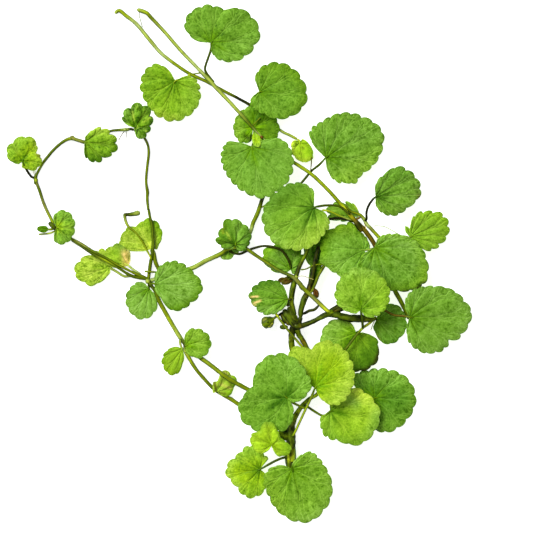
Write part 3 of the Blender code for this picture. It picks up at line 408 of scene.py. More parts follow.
stem("runner_loop_side", "runner",
    [(134, 130.2, 0.9, 0.5, UMBER), (137.4, 131.8, 0.9), (143.9, 137.2, 0.9, 0.52, SEDGE),
     (147.8, 145.1, 0.9, 0.54, UMBER), (148.7, 153.3, 0.9, 0.58, BRACKEN), (146.9, 169.6, 0.8, 0.56),
     (146.1, 181.8, 0.8), (147.5, 192, 0.8, 0.72), (147.2, 198.3, 0.9, 0.61),
     (148.3, 209.5, 1.9, 0.56, BRONZE), (148.6, 209.5, 1.6, 0.58), (150.4, 219.1, 2.1),
     (152, 225.7, 2.2, 0.55), (153.1, 241, 2.4, 0.6), (152.6, 251.2, 2.2, 0.7), (150.3, 264.6, 1.4, 0.77),
     (148.3, 279.8, 1, 0.67, KHAKI)],
    [[(152.6, 249.4, 2.2, 0.5, BRACKEN), (154.6, 254, 1.9, 0.62), (155.4, 261.5, 1.6, 0.84),
      (158.6, 269.1, 1.2, 0.79), (162.2, 275.6, 1, 0.5, CITRON)]])

# Leaves of the upper group.
# Round soft blades with a scalloped margin, each on a thin stalk that joins it at the notch. Veins
# spread like a fan from the notch. They grow from the nodes of the two long runners.
def reach(outline, direction):
    """The distance from the notch to the margin: a smooth curve through pairs of (direction, reach)."""
    last = len(outline) - 1
    k = 0
    while k < last - 1 and direction > outline[k + 1][0]:
        k += 1
    (a0, r0), (a1, r1) = outline[k], outline[k + 1]
    before = outline[max(k - 1, 0)]
    after = outline[min(k + 2, last)]
    slope0 = (r1 - before[1]) / (a1 - before[0])
    slope1 = (after[1] - r0) / (after[0] - a0)
    span = a1 - a0
    t = (direction - a0) / span
    smooth = t * t * (3 - 2 * t)
    bend = t * (1 - t)
    return r0 + (r1 - r0) * smooth + span * bend * ((1 - t) * slope0 - t * slope1)


# Leaf greens, from the shaded throat of an old leaf to a young leaf in full light.
BLACK_GREEN = linear("#3B6C05")
YEW = linear("#538504")
HOLLY = linear("#568B20")
IVY = linear("#5C8F05")
LAUREL = linear("#649515")
PINE = linear("#6B9E29")
SPINACH = linear("#70A603")
NETTLE = linear("#6FA233")
FERN = linear("#72A51C")
MOSS = linear("#79AA1E")
CLOVER = linear("#79AE38")
GRASS = linear("#7CB030")
SAGE = linear("#7FB028")
MEADOW = linear("#82B230")
CABBAGE = linear("#84B520")
PEA = linear("#83B547")
APPLE = linear("#87B832")
SPRING = linear("#91BB13")
SHOOT = linear("#8DBF49")
LIME = linear("#96C32B")
LEMON_GREEN = linear("#8ECB10")
SORREL = linear("#9FC238")
PEAR = linear("#A7CB3E")
HAY = linear("#ACD82A")
STRAW_GREEN = linear("#AED648")
PRIMROSE = linear("#D5F14C")

# Colours of single spots: painted deep shade, withered tissue, dry tissue, specks, dead rims and the
# underside. On one blade the blackest rim colour paints the shade under an edge.
BOTTLE = linear("#2F5204")
OLIVE = linear("#99A224")
TAN = linear("#E2C877")
BROWN = linear("#5E3A14")
CHAR = linear("#251A06")
SPECK = linear("#3A4A08")
UNDERSIDE = linear("#9DBB6A")

# Sizes in the blade's tissue, in millimetres: the sway of its veins, its light and dark patches, the
# grain in them, and the mesh of its finest veins. The mesh is drawn twice as coarse as it really is.
VEIN_SWAY = 4.0
PATCH = 1.9
GRAIN = 0.8
VEIN_MESH = 1.1
# Streaks 0.5 mm broad where the main veins stand 4.5 mm apart, and 5 mm long on a blade of 13 mm.
STREAKS = (4.5 / 0.5, 13.0 / 5.0, 1.0)
# How strongly patches, streaks, grain and the mesh of the finest veins show in the blade's tone.
PATCH_TONE = 0.80
STREAK_TONE = 0.30
GRAIN_TONE = 0.62
MESH_TONE = 0.08
# A main vein sends off branches a third of the way out, and they send off twigs further on. How far
# the veins sway and their branches spread is in gaps between main veins.
SWAY = 0.36
FORK = 0.34
FORK_SPREAD = 0.55
TWIG = 0.62
TWIG_SPREAD = 0.42
# Half the breadth in millimetres of a main vein, a branch and a twig, and how clearly each shows.
VEIN_KINDS = ((0.34, 1.0), (0.27, 0.9), (0.22, 0.65))
# What the blade's colour is multiplied by, from its darkest grain to its palest vein.
DARK_GRAIN = (0.36, 0.46, 0.05, 1.0)
EVEN_TISSUE = (1.0, 1.0, 0.72, 1.0)
PALE_VEIN = (1.70, 1.48, 1.9, 1.0)
BLADE_RELIEF = 0.18
LIGHT_THROUGH = 0.12


def leaf_skin(name, rough, vein):
    """Thin soft blade of a water plant: satin, a little light comes through it, veins paler than it.

    The map's first value counts the main veins round the blade, and its second runs from the notch
    to the margin. Every main vein sends off a branch to each side, and those fork once more.
    """
    made = bpy.data.materials.new(name)
    made.use_nodes = True
    tree = made.node_tree
    shader = tree.nodes["Principled BSDF"]
    tint = add(tree, "Attribute", attribute_name="tint")
    girth = add(tree, "Attribute", attribute_name="girth")
    place = add(tree, "UVMap", uv_map="skin")
    where = add(tree, "TexCoord").outputs["Object"]
    sway = add(tree, "TexNoise", {"Vector": where, "Scale": 1 / (VEIN_SWAY * MM), "Detail": 2.0})
    parts = add(tree, "SeparateXYZ", {0: place})
    out = parts.outputs[1]
    swayed = add(tree, "Math", {0: sway, 1: SWAY, 2: parts.outputs[0]}, operation="MULTIPLY_ADD")
    shifted = add(tree, "Math", {0: swayed, 1: 0.5 - SWAY / 2}, operation="ADD")
    part_way = add(tree, "Math", {0: shifted}, operation="FRACT")
    beside = add(tree, "Math", {0: part_way, 1: 0.5}, operation="SUBTRACT")
    width = add(tree, "Math", {0: out, 1: girth.outputs["Fac"]}, operation="MULTIPLY")
    lines = [add(tree, "Math", {0: beside}, operation="ABSOLUTE")]
    for start, spread in ((FORK, FORK_SPREAD), (TWIG, TWIG_SPREAD)):
        past = add(tree, "Math", {0: out, 1: start}, operation="SUBTRACT")
        forked = add(tree, "Math", {0: past, 1: 0.0}, operation="MAXIMUM")
        aside = add(tree, "Math", {0: forked, 1: -spread, 2: lines[-1]}, operation="MULTIPLY_ADD")
        lines.append(add(tree, "Math", {0: aside}, operation="ABSOLUTE"))
    veins = 0.0
    for line, (thin, strong) in zip(lines, VEIN_KINDS):
        gap = add(tree, "Math", {0: line, 1: width}, operation="MULTIPLY")
        ridge = add(
            tree, "MapRange",
            {"Value": gap, "From Min": 0.05, "From Max": thin, "To Min": strong, "To Max": 0.0},
            interpolation_type="SMOOTHSTEP",
        )
        veins = add(tree, "Math", {0: ridge, 1: veins}, operation="MAXIMUM")
    cells = add(
        tree, "TexVoronoi", {"Vector": where, "Scale": 1 / (VEIN_MESH * MM)},
        feature="DISTANCE_TO_EDGE",
    )
    mesh_line = add(
        tree, "MapRange",
        {"Value": cells, "From Min": 0.02, "From Max": 0.2, "To Min": 1.0, "To Max": 0.0},
    )
    stretched = add(tree, "Mapping", {"Vector": place, "Scale": STREAKS})
    streaks = add(
        tree, "TexNoise", {"Vector": stretched, "Scale": 1.0, "Detail": 4.0, "Roughness": 0.6},
    )
    patches = add(
        tree, "TexNoise",
        {"Vector": where, "Scale": 1 / (PATCH * MM), "Detail": 3.0, "Roughness": 0.55},
    )
    grain = add(tree, "TexNoise", {"Vector": where, "Scale": 1 / (GRAIN * MM), "Detail": 2.0})
    grown = add(tree, "MapRange", {"Value": out, "From Min": 0.02, "From Max": 0.25})
    shown = add(tree, "Math", {0: veins, 1: grown}, operation="MULTIPLY")
    tone = -(PATCH_TONE + STREAK_TONE + GRAIN_TONE) / 2
    for part, share in (
        (patches, PATCH_TONE), (streaks, STREAK_TONE), (grain, GRAIN_TONE), (mesh_line, MESH_TONE),
        (shown, vein),
    ):
        tone = add(tree, "Math", {0: part, 1: share, 2: tone}, operation="MULTIPLY_ADD")
    tone = add(tree, "Math", {0: tone, 1: tint.outputs["Alpha"]}, operation="MULTIPLY")
    light = add(tree, "MapRange", {"Value": tone, "From Min": -0.26, "From Max": 0.34})
    ramp = add(tree, "ValToRGB", {0: light})
    ramp.color_ramp.elements[0].color = DARK_GRAIN
    ramp.color_ramp.elements[1].color = PALE_VEIN
    middle = ramp.color_ramp.elements.new(0.45)
    middle.color = EVEN_TISSUE
    colour = add(tree, "VectorMath", {0: tint.outputs["Color"], 1: ramp}, operation="MULTIPLY")
    tree.links.new(colour.outputs[0], shader.inputs["Base Color"])
    height = 0.0
    for part, share in ((veins, -0.7), (patches, 1.2), (mesh_line, -0.30)):
        height = add(tree, "Math", {0: part, 1: share, 2: height}, operation="MULTIPLY_ADD")
    relief = add(tree, "Bump", {"Height": height, "Strength": 0.8, "Distance": BLADE_RELIEF * MM})
    tree.links.new(relief.outputs[0], shader.inputs["Normal"])
    shader.inputs["Roughness"].default_value = rough
    shader.inputs["Specular IOR Level"].default_value = 0.07
    through = add(tree, "BsdfTranslucent", {"Color": colour})
    both = add(tree, "MixShader", {0: LIGHT_THROUGH, 1: shader, 2: through})
    tree.links.new(both.outputs[0], tree.nodes["Material Output"].inputs["Surface"])
    return made


# A grown blade is satin with clear veins, and a young one is smoother and more even. The veins stand
# out most where a blade is shaded, and a dying blade is dull and blotched.
dying_skin = leaf_skin("dying_leaf_skin", 0.6, 0.30)
LEAF_SKINS = {
    "leaf": leaf_skin("grown_leaf_skin", 0.5, 0.22),
    "young_leaf": leaf_skin("young_leaf_skin", 0.46, 0.18),
    "shaded_leaf": leaf_skin("shaded_leaf_skin", 0.48, 0.28),
    "dying_leaf": dying_skin,
}

# A full-grown blade is at least 35 pixels long, and its scallops are 2.3 pixels deep. The margin is
# drawn 0.4 pixels past its outline. A blade is 0.26 mm thick, and its stalk 1 mm.
FULL_GROWN = 35
SCALLOP = 2.3
BEYOND = 0.4
THIN = 0.13
STALK = 0.5
UNDERLAP = 5
# Relief of a blade in millimetres: between its veins, along its scallops, in waves that are 12 pixels
# long, down to the notch and down at the margin.
SWELL = 0.13
CURL = 0.10
WAVE = 0.3
WAVE_LENGTH = 12
DIP = 0.2
ROLL = 0.22
# The blade has painted shade in the grooves along its veins where it is crumpled, less the smoother it
# is, and painted shade along its margin, which rolls down. Its colour drifts over 15 pixels.
PAINTED_GROOVE_SHADE = 0.30
SMOOTH_LIGHT = 0.26
PAINTED_MARGIN_SHADE = 0.22
CLOUD = 0.14
CLOUD_LENGTH = 15


def beside_line(point, start, end):
    """How far a point of the plan lies from the line between two others, in pixels."""
    run = Vector((end[0] - start[0], end[1] - start[1]))
    gone = Vector((point.x - start[0], point.y - start[1]))
    share = min(1.0, max(0.0, gone.dot(run) / max(run.length_squared, 1e-9)))
    return (gone - run * share).length


def blade(shape, notch, heading, outline, lobes, lie, look, crumple=1.0, pattern=0.75, veins=7, cut=1.0,
          marks=()):
    """Adds one round blade, which fans out from its notch.

    lie is its height at the notch in millimetres, then its rise towards the tip, its bank to the
    left and the droop of its tip. look is its colour at the throat, in the middle and at the margin,
    and then towards its left and right side where they differ; the side colours are partly the
    blade's own colour and partly painted light and shade on its two halves. pattern says how
    strongly veins and patches show, and cut how deep the scallops are. A mark is a soft line of
    colour from one (across, down) to another, with its breadth in pixels and its strength. Some marks
    are the blade's own spots, and some paint shade and highlights on it.
    """
    height, rise, bank, droop = lie
    first, last = outline[0][0], outline[-1][0]
    length = reach(outline, heading)
    depth = SCALLOP * cut * min(1, length / FULL_GROWN)
    parting = (heading - first) / (last - first)
    fan = new_shape()
    tint = fan.verts.layers.float_color["tint"]
    girth = fan.verts.layers.float["girth"]
    uv = fan.loops.layers.uv["skin"]
    rows = round(min(26, max(12, length * 0.55)))
    bmesh.ops.create_grid(fan, x_segments=lobes * 8, y_segments=rows, size=0.5)
    seed = notch[0] * 0.37 + notch[1] * 0.11
    laid = {}
    for vert in fan.verts:
        turn = vert.co.x + 0.5
        out = vert.co.y + 0.5
        # The last row but one lies close inside the margin.
        if 0.99 > out > 1 - 1.5 / rows:
            out = 0.985
        direction = first + (last - first) * turn
        edge = reach(outline, direction) + BEYOND
        bite = 1 - abs(math.sin(math.pi * lobes * turn)) ** 0.7
        uneven = 1 + 0.6 * noise.noise(Vector((round(lobes * turn) * 1.7, seed, 0)))
        edge -= depth * bite * uneven * ease(0.5, 1.0, out) * ease(4, 22, edge)
        far = out * edge
        angle = math.radians(direction)
        ahead = far * math.cos(angle - math.radians(heading)) / length
        aside = far * math.sin(angle - math.radians(heading)) / length
        lift = height + rise * ahead + bank * aside - droop * (far / length) ** 2
        half = parting if turn < parting else 1 - parting
        counted = veins / 2 * (turn - parting) / half
        main = abs((counted + 0.5) % 1 - 0.5)
        fork = abs(main - FORK_SPREAD * max(0.0, out - FORK))
        swell = ease(0.0, 0.3, main) + 0.6 * ease(0.0, 0.13, fork) * ease(0.3, 0.5, out)
        lift += SWELL * crumple ** 1.7 * (swell - 0.8) * ease(0.0, 0.25, out) * ease(1.0, 0.8, out)
        lift += CURL * crumple * (0.5 - bite) * ease(0.55, 0.9, out)
        flat = Vector((notch[0] + far * math.cos(angle), notch[1] - far * math.sin(angle), seed))
        lift += WAVE * crumple * noise.noise(flat / WAVE_LENGTH) * ease(0.1, 0.5, out)
        lift -= DIP * math.exp(-((out / 0.16) ** 2)) + ROLL * crumple * ease(0.88, 1.0, out)
        frayed = out + 0.34 * noise.noise(Vector((counted * 3.4, out * 1.5, seed)))
        colour = look[0].lerp(look[1], ease(0.0, 0.5, frayed)).lerp(look[2], 0.85 * ease(0.68, 1.0, out))
        # Towards its sides the blade takes the side colours, partly painted light and shade on its two halves.
        if len(look) > 3:
            sided = ease(0.05, 0.6, abs(aside)) * ease(0.2, 0.5, frayed)
            colour = colour.lerp(look[3 if aside > 0 else 4], 0.8 * sided)
        groove = ease(0.22, 0.08, main) * ease(0.0, 0.2, out) * ease(1.0, 0.8, out)
        # Painted shade in the creases along the veins and at the rolled margin.
        shaded = 1 - (PAINTED_GROOVE_SHADE * crumple - SMOOTH_LIGHT) * groove - PAINTED_MARGIN_SHADE * ease(0.94, 1.0, out)
        colour = colour * shaded * (1 + CLOUD * noise.noise(flat / CLOUD_LENGTH + Vector((9, 0, 0))))
        # Some marks are the blade's own spots, and some paint shade and highlights.
        for start, end, size, mark, strength in marks:
            gap = beside_line(flat, start, end) / size
            colour = colour.lerp(mark, strength * math.exp(-gap * gap))
        vert.co = spot(flat.x, flat.y, lift + THIN)
        vert[tint] = (*colour, pattern)
        vert[girth] = max(0.3, math.radians(last - first) * edge * PIXEL / MM / veins)
        laid[vert] = (counted + 4 * round(seed), out)
    for face in fan.faces:
        face.smooth = True
        for corner in face.loops:
            corner[uv].uv = laid[corner.vert]
    bmesh.ops.remove_doubles(fan, verts=fan.verts, dist=1e-6)
    bmesh.ops.recalc_face_normals(fan, faces=fan.faces)
    if sum(face.normal.z for face in fan.faces) < 0:
        bmesh.ops.reverse_faces(fan, faces=fan.faces)
    grown = bmesh.ops.extrude_face_region(fan, geom=fan.faces[:], use_keep_orig=True)["geom"]
    for vert in [part for part in grown if isinstance(part, bmesh.types.BMVert)]:
        vert.co -= vert.normal * 2 * THIN * MM
        vert[tint] = (*Vector(vert[tint][:3]).lerp(UNDERSIDE, 0.45), pattern)
    # The extrusion leaves the faces of the rim in another order on each run, so they are sorted.
    fan.verts.index_update()
    in_order = sorted(fan.faces, key=lambda face: sorted(vert.index for vert in face.verts))
    ranks = {face: rank for rank, face in enumerate(in_order)}
    fan.faces.sort(key=ranks.get)
    sheet = bpy.data.meshes.new("blade")
    bmesh.ops.recalc_face_normals(fan, faces=fan.faces)
    fan.to_mesh(sheet)
    fan.free()
    shape.from_mesh(sheet)
    bpy.data.meshes.remove(sheet)


def leaf(name, slot, notch, heading, outline, lobes, lie, stalk, look, hue, folds=(), **details):
    """A round blade on its stalk, with any folds of it that stand out as blades of their own."""
    shape = new_shape()
    blade(shape, notch, heading, outline, lobes, lie, look, **details)
    for fold in folds:
        blade(shape, *fold)
    slope = lie[1] * UNDERLAP / reach(outline, heading)
    ahead = (math.cos(math.radians(heading)), -math.sin(math.radians(heading)))
    route = [
        (notch[0] + UNDERLAP * ahead[0], notch[1] + UNDERLAP * ahead[1], lie[0] + slope - 0.4, 0.25, look[0]),
        (*notch, lie[0] - 0.05, 0.36, look[0].lerp(hue, 0.5)),
    ]
    route += [(*place, STALK, hue) for place in stalk]
    tube(shape, route, skin=1, sides=10)
    finish_piece(name, shape, [LEAF_SKINS[slot], runner_skin])


leaf("leaf_upper_1", "leaf", (211.3, 42.5), 42,
    [(-95, 5), (-80, 13.5), (-45, 27.8), (-9, 43), (13, 50.2), (50, 45.2), (66, 36.5), (100, 38.2),
     (146, 32.8), (178, 12)], 15, (6, 1.5, 0, 0.6),
    [(211.4, 48.1, 5.4), (207.9, 58.7, 4.6), (205.1, 67.6, 3.4), (206.2, 72.4, 2.6), (210.4, 78.2, 2.4),
     (214, 82.6, 2.5)],
    (IVY, PINE, PINE, PINE, CLOVER), UMBER, crumple=1.2, pattern=1.27)
leaf("leaf_upper_2", "leaf", (174.9, 81.1), 252,
    [(113, 8), (137, 25.8), (182, 35), (213, 36.1), (262, 40.8), (297, 36.8), (335, 28.8), (377, 17.6),
     (391, 8)], 16, (2.6, -1.2, 0, 0.2),
    [(182, 79, 1.9), (188, 76.6, 1.2), (189.6, 73.7, 0.7)],
    (YEW, CABBAGE, SORREL, APPLE, FERN), CITRON, crumple=1.2, pattern=1.05)
leaf("leaf_upper_3", "leaf", (259.5, 91.8), -5,
    [(-152, 5), (-143, 10), (-130, 15), (-112, 17.4), (-93, 20.4), (-79, 23), (-47, 37), (-20, 46.6),
     (-2, 48.2), (49, 38), (85, 25.4), (112, 13)], 14, (5.4, 0.6, 0, 0.3),
    [(256.6, 98, 4), (254.8, 103, 2.2), (253.4, 106.4, 1)],
    (YEW, PINE, LAUREL, LAUREL, PINE), REED, pattern=1.18)
leaf("leaf_upper_4", "shaded_leaf", (253, 128), 80,
    [(-87, 12), (-60, 17), (-20, 26), (20, 25.5), (60, 22.5), (100, 21.9), (150, 20.1), (190, 19.8),
     (230, 19), (264, 13)], 14, (2.4, 0, 0, 0.1),
    [(256.5, 134, 2.8), (259, 138, 3.4)],
    (LEMON_GREEN, YEW, HOLLY, MEADOW, LAUREL), SEDGE, crumple=1.3, pattern=0.95,
    marks=[((244, 134), (246.6, 138.6), 1.2, SPECK, 0.6), ((247.6, 136.6), (249.8, 141.4), 1, CHAR, 0.6),
           ((250.8, 135.6), (251.6, 146), 1.3, CHAR, 0.95), ((241.6, 138.6), (247, 142.6), 1.8, SAGE, 0.5),
           ((256, 121), (262, 116), 2.2, BLACK_GREEN, 0.6)],
    folds=[
        ((254.5, 130), -80, [(-118, 3), (-98, 13), (-86, 17), (-74, 17.2), (-58, 13), (-36, 8), (-16, 3)], 3,
         (3.6, 2.6, 0, 0), (CLOVER, SPRING, APPLE), 1.3, 1.1, 3)])
leaf("leaf_upper_5", "leaf", (251.8, 147.3), -77,
    [(-212, 4), (-203, 11.7), (-196, 22.8), (-185, 27.6), (-170, 31.5), (-128, 38.5), (-101, 45.5),
     (-75, 52.6), (-43, 50), (-23, 45.8), (9, 34.5), (20, 27.1), (28, 18), (38, 8)], 20, (5.4, 3, 0.8, 0.4),
    [(252.6, 145.6, 4.6), (253.6, 142.6, 3)],
    (IVY, NETTLE, CLOVER, NETTLE, PINE), KHAKI, pattern=0.87)
leaf("leaf_upper_6", "young_leaf", (299.8, 142.6), -78,
    [(-215, 4), (-184, 7.8), (-141, 10.4), (-114, 15.3), (-89, 18.4), (-78, 21.1), (-63, 20.6), (-48, 20.6),
     (-38, 17.5), (-21, 12), (5, 7.4), (32, 5.2), (60, 4)], 8, (2, 0.2, 0, 0.2),
    [(299.4, 141.2, 1.7), (297.4, 139, 1.2)],
    (HAY, HAY, PRIMROSE, SPINACH, PRIMROSE), CITRON, crumple=1.5, pattern=0.52, veins=5, cut=1.4,
    marks=[((295.6, 143.6), (297.4, 144.6), 1.2, SPECK, 0.7), ((302, 147), (303.4, 148.2), 1.2, SPECK, 0.6),
           ((299, 153), (301, 153.4), 1.2, SPECK, 0.4)])
leaf("leaf_upper_7", "leaf", (326.2, 157.4), 31,
    [(-93, 6), (-80, 17.1), (-65, 28.1), (-52, 32.7), (-44, 38.9), (-27, 39.8), (-7, 49.8), (20, 61.7),
     (31, 61.5), (46, 56.5), (66, 49.5), (96, 37), (126, 29.4), (143, 8)], 20, (6.2, -3.8, 0, 1.6),
    [(319.3, 164.8, 5), (311.7, 170.8, 3.5), (305.2, 178.5, 3.4), (299, 186, 3.4)],
    (YEW, NETTLE, NETTLE, PINE, APPLE), UMBER, crumple=1.2, pattern=1.21)

# Leaves of the centre.
# Eight blades lie over and under each other above the crown. The lower ones are older, and darker
# with painted shade from the blades over them, and one of them has a dry, torn edge.
leaf("leaf_centre_1", "leaf", (313.8, 207.5), 214,
    [(87, 15.7), (108, 24.4), (128, 31.8), (168, 45.3), (189, 52.8), (216, 54.4), (244, 48), (271, 38),
     (288, 30), (314, 23.4), (340, 9.2)], 18, (8.4, -1.2, -0.8, 0.2),
    [(320.1, 206.1, 8), (326.6, 205.3, 7.6), (337, 205.7, 7.2), (343, 208.4, 7), (349, 213.6, 6.9),
     (348.9, 213.6, 5)],
    (BLACK_GREEN, GRASS, SHOOT, STRAW_GREEN, HOLLY), UMBER, crumple=1.1, pattern=0.79)
leaf("leaf_centre_2", "leaf", (364, 250), 175,
    [(10, 5), (34, 7), (63, 9.5), (87, 15), (104, 20), (115, 31.1), (128, 33.4), (144, 38.2), (157, 43),
     (167, 42.6), (179, 44.2), (188, 44.2), (196, 45.8), (201, 44.6), (207, 39.9), (218, 38.4), (227, 35.6),
     (248, 33), (265, 28), (282, 17), (296, 6)], 15, (3, 2.6, 0, 0.1),
    [(370, 249.6, 3.2), (375.9, 247.6, 4.6)],
    (PINE, CLOVER, SPINACH, SHOOT, MOSS), LEEK, pattern=0.98)
leaf("leaf_centre_3", "young_leaf", (360.5, 309.8), 88,
    [(-58, 6), (-35, 14), (-8, 22), (19, 31), (41, 37), (89, 43), (115, 40), (142, 32.3), (159, 27.4),
     (195, 11), (225, 5)], 17, (9.6, 1.2, 0, 0.2),
    [(361.6, 315, 8.4), (362.2, 319, 7.8), (362.6, 324, 6.6), (362.8, 328.6, 5.2)],
    (IVY, APPLE, SHOOT, APPLE, CABBAGE), UMBER, pattern=1.05)
leaf("leaf_centre_4", "shaded_leaf", (290.5, 269), 128,
    [(-70, 5), (-30, 7.5), (15, 9.5), (50, 20), (80, 25), (105, 27), (128, 30.1), (150, 32.9), (175, 23.8),
     (205, 9.9), (228, 5)], 12, (2.2, 0, 0, 0),
    [(289.6, 263, 3), (286.4, 256.5, 3.3), (281.6, 250.4, 3.3), (275.5, 247.6, 3), (269.4, 246.3, 2.4),
     (261.8, 246.2, 1.6), (253.4, 248.4, 0.8), (248, 250.4, 0.7), (240.3, 253.8, 0.7), (234.5, 253.2, 0.6),
     (228.6, 250.8, 1)],
    (LAUREL, CLOVER, LEMON_GREEN, MOSS, YEW), FIR, crumple=1.7, pattern=0.85, cut=1.5,
    marks=[((291, 267), (299, 257), 0.7, SHOOT, 0.6), ((291.4, 268), (302, 262.6), 0.7, SHOOT, 0.6),
           ((290, 262), (294.6, 251.6), 0.7, SHOOT, 0.5), ((283, 247.6), (300, 249), 1.8, BLACK_GREEN, 0.7),
           ((262.6, 251), (268, 247.6), 1.6, YEW, 0.6), ((270, 258), (284, 266), 0.8, SHOOT, 0.4)])
leaf("leaf_centre_5", "shaded_leaf", (313, 268), 78,
    [(30, 6), (55, 30), (75, 44), (96, 42), (110, 27), (124, 15), (140, 6)], 6, (1.6, 0.4, 0, 0),
    [(312.4, 270.5, 2.2), (313.3, 270.5, 4.2)],
    # This blade lies in the shade of the blades over it. Its dark greens, the fold's as well, are painted
    # shade, and the marks paint lit and shaded strips on it.
    (BOTTLE, YEW, HOLLY), YEW, crumple=1.1, pattern=1.2, veins=3, cut=0.7,
    marks=[((308.6, 248), (310.6, 264), 2.6, CLOVER, 0.8),
           ((312.6, 246), (313.4, 262), 0.8, BLACK_GREEN, 0.7),
           ((317.6, 242), (318.6, 262), 2.6, BOTTLE, 0.8), ((315, 246), (315.6, 258), 0.7, GRASS, 0.6)],
    folds=[
        ((309.4, 291.4), 76, [(46, 4), (60, 16), (62, 26), (68, 32), (78, 33), (87, 28), (91, 18), (98, 8),
         (120, 3)], 2, (3.4, 0, 0, 0), (BLACK_GREEN, YEW, YEW), 1, 1.3, 3)])
leaf("leaf_centre_6", "leaf", (287.5, 299), 180,
    [(98, 4), (110, 16.2), (132, 25.9), (158, 36), (176, 39.1), (188, 35.8), (198, 33.2), (212, 29.1),
     (231, 19), (246, 11), (265, 4)], 12, (7, -2, 0, 0),
    [(290.2, 299.4, 6.6), (291.5, 299.2, 4.5)],
    (YEW, PINE, HOLLY, PEA, BLACK_GREEN), PEAT, crumple=1.4, pattern=1.24,
    marks=[((250.5, 297), (258, 296.4), 0.9, TAN, 0.95), ((253, 303.4), (260.6, 300.6), 1, TAN, 0.9),
           ((252, 306.2), (256, 304.6), 0.8, TAN, 0.6), ((250.8, 298.8), (254, 299.2), 0.8, COAL, 0.8)])
leaf("leaf_centre_7", "leaf", (235.5, 244.5), 80,
    [(-72, 5), (-40, 10.6), (-8, 12.7), (25, 17.7), (55, 21.4), (76, 23.7), (98, 26.8), (115, 26.5),
     (133, 22.1), (152, 20.9), (168, 20.4), (190, 15.1), (215, 8), (240, 4)], 11, (4.1, 0.4, 0, 0),
    [(236.2, 246, 3.4), (236.6, 247.1, 2.1)],
    (YEW, CLOVER, CLOVER, YEW, BLACK_GREEN), KHAKI, crumple=2, pattern=0.8, cut=1.8,
    # The darkest marks paint shade at the notch and in the folds, and the light green ones paint highlights on
    # the ridges.
    marks=[((222.6, 226), (223, 233), 1.2, OLIVE, 0.5), ((231, 242), (234.4, 245.6), 2.2, BOTTLE, 0.8),
           ((230.4, 230), (233.4, 242), 1.3, BLACK_GREEN, 0.5),
           ((238.6, 229), (235.6, 240), 1.2, BLACK_GREEN, 0.45),
           ((222.6, 237), (230, 241.4), 1.5, BLACK_GREEN, 0.6), ((233, 222), (234.6, 232), 1.2, SHOOT, 0.5),
           ((227, 233), (230, 239), 1.3, PEAR, 0.7), ((237.6, 232), (239, 240), 1.4, SHOOT, 0.7)],
    folds=[
        ((231, 247), -30, [(-112, 4), (-80, 7.5), (-45, 9), (-15, 8.6), (12, 7), (40, 3)], 3, (0.9, 0, 0, 0),
         (HOLLY, CLOVER, SHOOT), 1.8, 1.2, 3),
        ((226.4, 250.8), 260, [(185, 3), (215, 7.4), (243, 9), (268, 8.6), (300, 9), (330, 8), (356, 4)], 4,
         (0.8, 0, 0, 0), (HOLLY, GRASS, SHOOT), 1.8, 1.2, 3)])
leaf("leaf_centre_8", "shaded_leaf", (359, 214), 168,
    [(105, 6), (121, 13.5), (137, 18.8), (149, 24.3), (162, 30.8), (178, 33.5), (190, 30), (203, 20.2),
     (218, 8)], 6, (1.6, 0.2, 0, 0),
    [(357.6, 217.4, 2.4), (356.6, 219.4, 3.1), (355.2, 220.7, 5)],
    (CLOVER, APPLE, GRASS), RUSH, crumple=1.5, veins=5, cut=2,
    marks=[((355, 203.6), (359.6, 212), 1.6, OLIVE, 0.6), ((343, 203), (352, 206), 1.6, YEW, 0.5)])

# Leaves at the right.
# Five blades that grow from the end of the thick runner. The two outer ones hang over its side and
# reach the table with their tips.
leaf("leaf_right_1", "leaf", (376.3, 196.6), 2,
    [(-100, 6), (-70, 17.9), (-47, 26.5), (-20, 34), (5, 45.2), (30, 44.2), (56, 37), (70, 24.8), (92, 13.2),
     (105, 5)], 13, (7.6, -3, 0, 0.6),
    [(372.1, 200.4, 7.6), (368.4, 206.2, 7.6), (366.5, 212.6, 7.5), (366.6, 219, 7.4), (364.6, 220.5, 6)],
    (BLACK_GREEN, CLOVER, SHOOT, HOLLY, LAUREL), COAL, crumple=1.5, pattern=1.17,
    marks=[((418.8, 195.4), (420.4, 198.6), 1.7, BROWN, 0.9), ((414, 186), (419, 192), 2, BOTTLE, 0.6)])
leaf("leaf_right_2", "leaf", (410.2, 236.8), 22,
    [(-60, 9), (-44, 20.6), (-8, 34.5), (14, 40.8), (34, 40.5), (54, 32.5), (80, 21.9), (94, 8.5),
     (104, 10.8), (114, 11.7), (138, 5)], 13, (5.5, -2.6, 0, 0),
    [(404, 240, 5.1), (396, 243, 4.9), (388, 244, 4.8)],
    (SAGE, SAGE, CABBAGE, MOSS, MEADOW), KHAKI, crumple=1.5, pattern=1.02, veins=9, cut=1.5)
leaf("leaf_right_3", "leaf", (375, 247.3), -33,
    [(-152, 12), (-138, 22), (-125, 27), (-100, 34), (-67, 47.4), (-57, 52.9), (-51, 56.6), (-43, 60),
     (-37, 62.3), (-30, 60.8), (-20, 57.2), (6, 43), (37, 22.9), (76, 8)], 18, (7.8, -1.6, 0, 0.2),
    [(376.6, 249.6, 6.3), (376.5, 249.1, 4.6)],
    (IVY, NETTLE, MOSS, PEA, BLACK_GREEN), KHAKI, pattern=1.28,
    # The black marks along its lower margin paint the shade under the blade that lies over it.
    marks=[((404, 291.4), (414.6, 290.6), 1.4, CHAR, 0.8), ((414.6, 290.6), (420.6, 287.2), 2, CHAR, 0.95),
           ((420.6, 287.2), (424.6, 281.4), 1.8, CHAR, 0.9)])
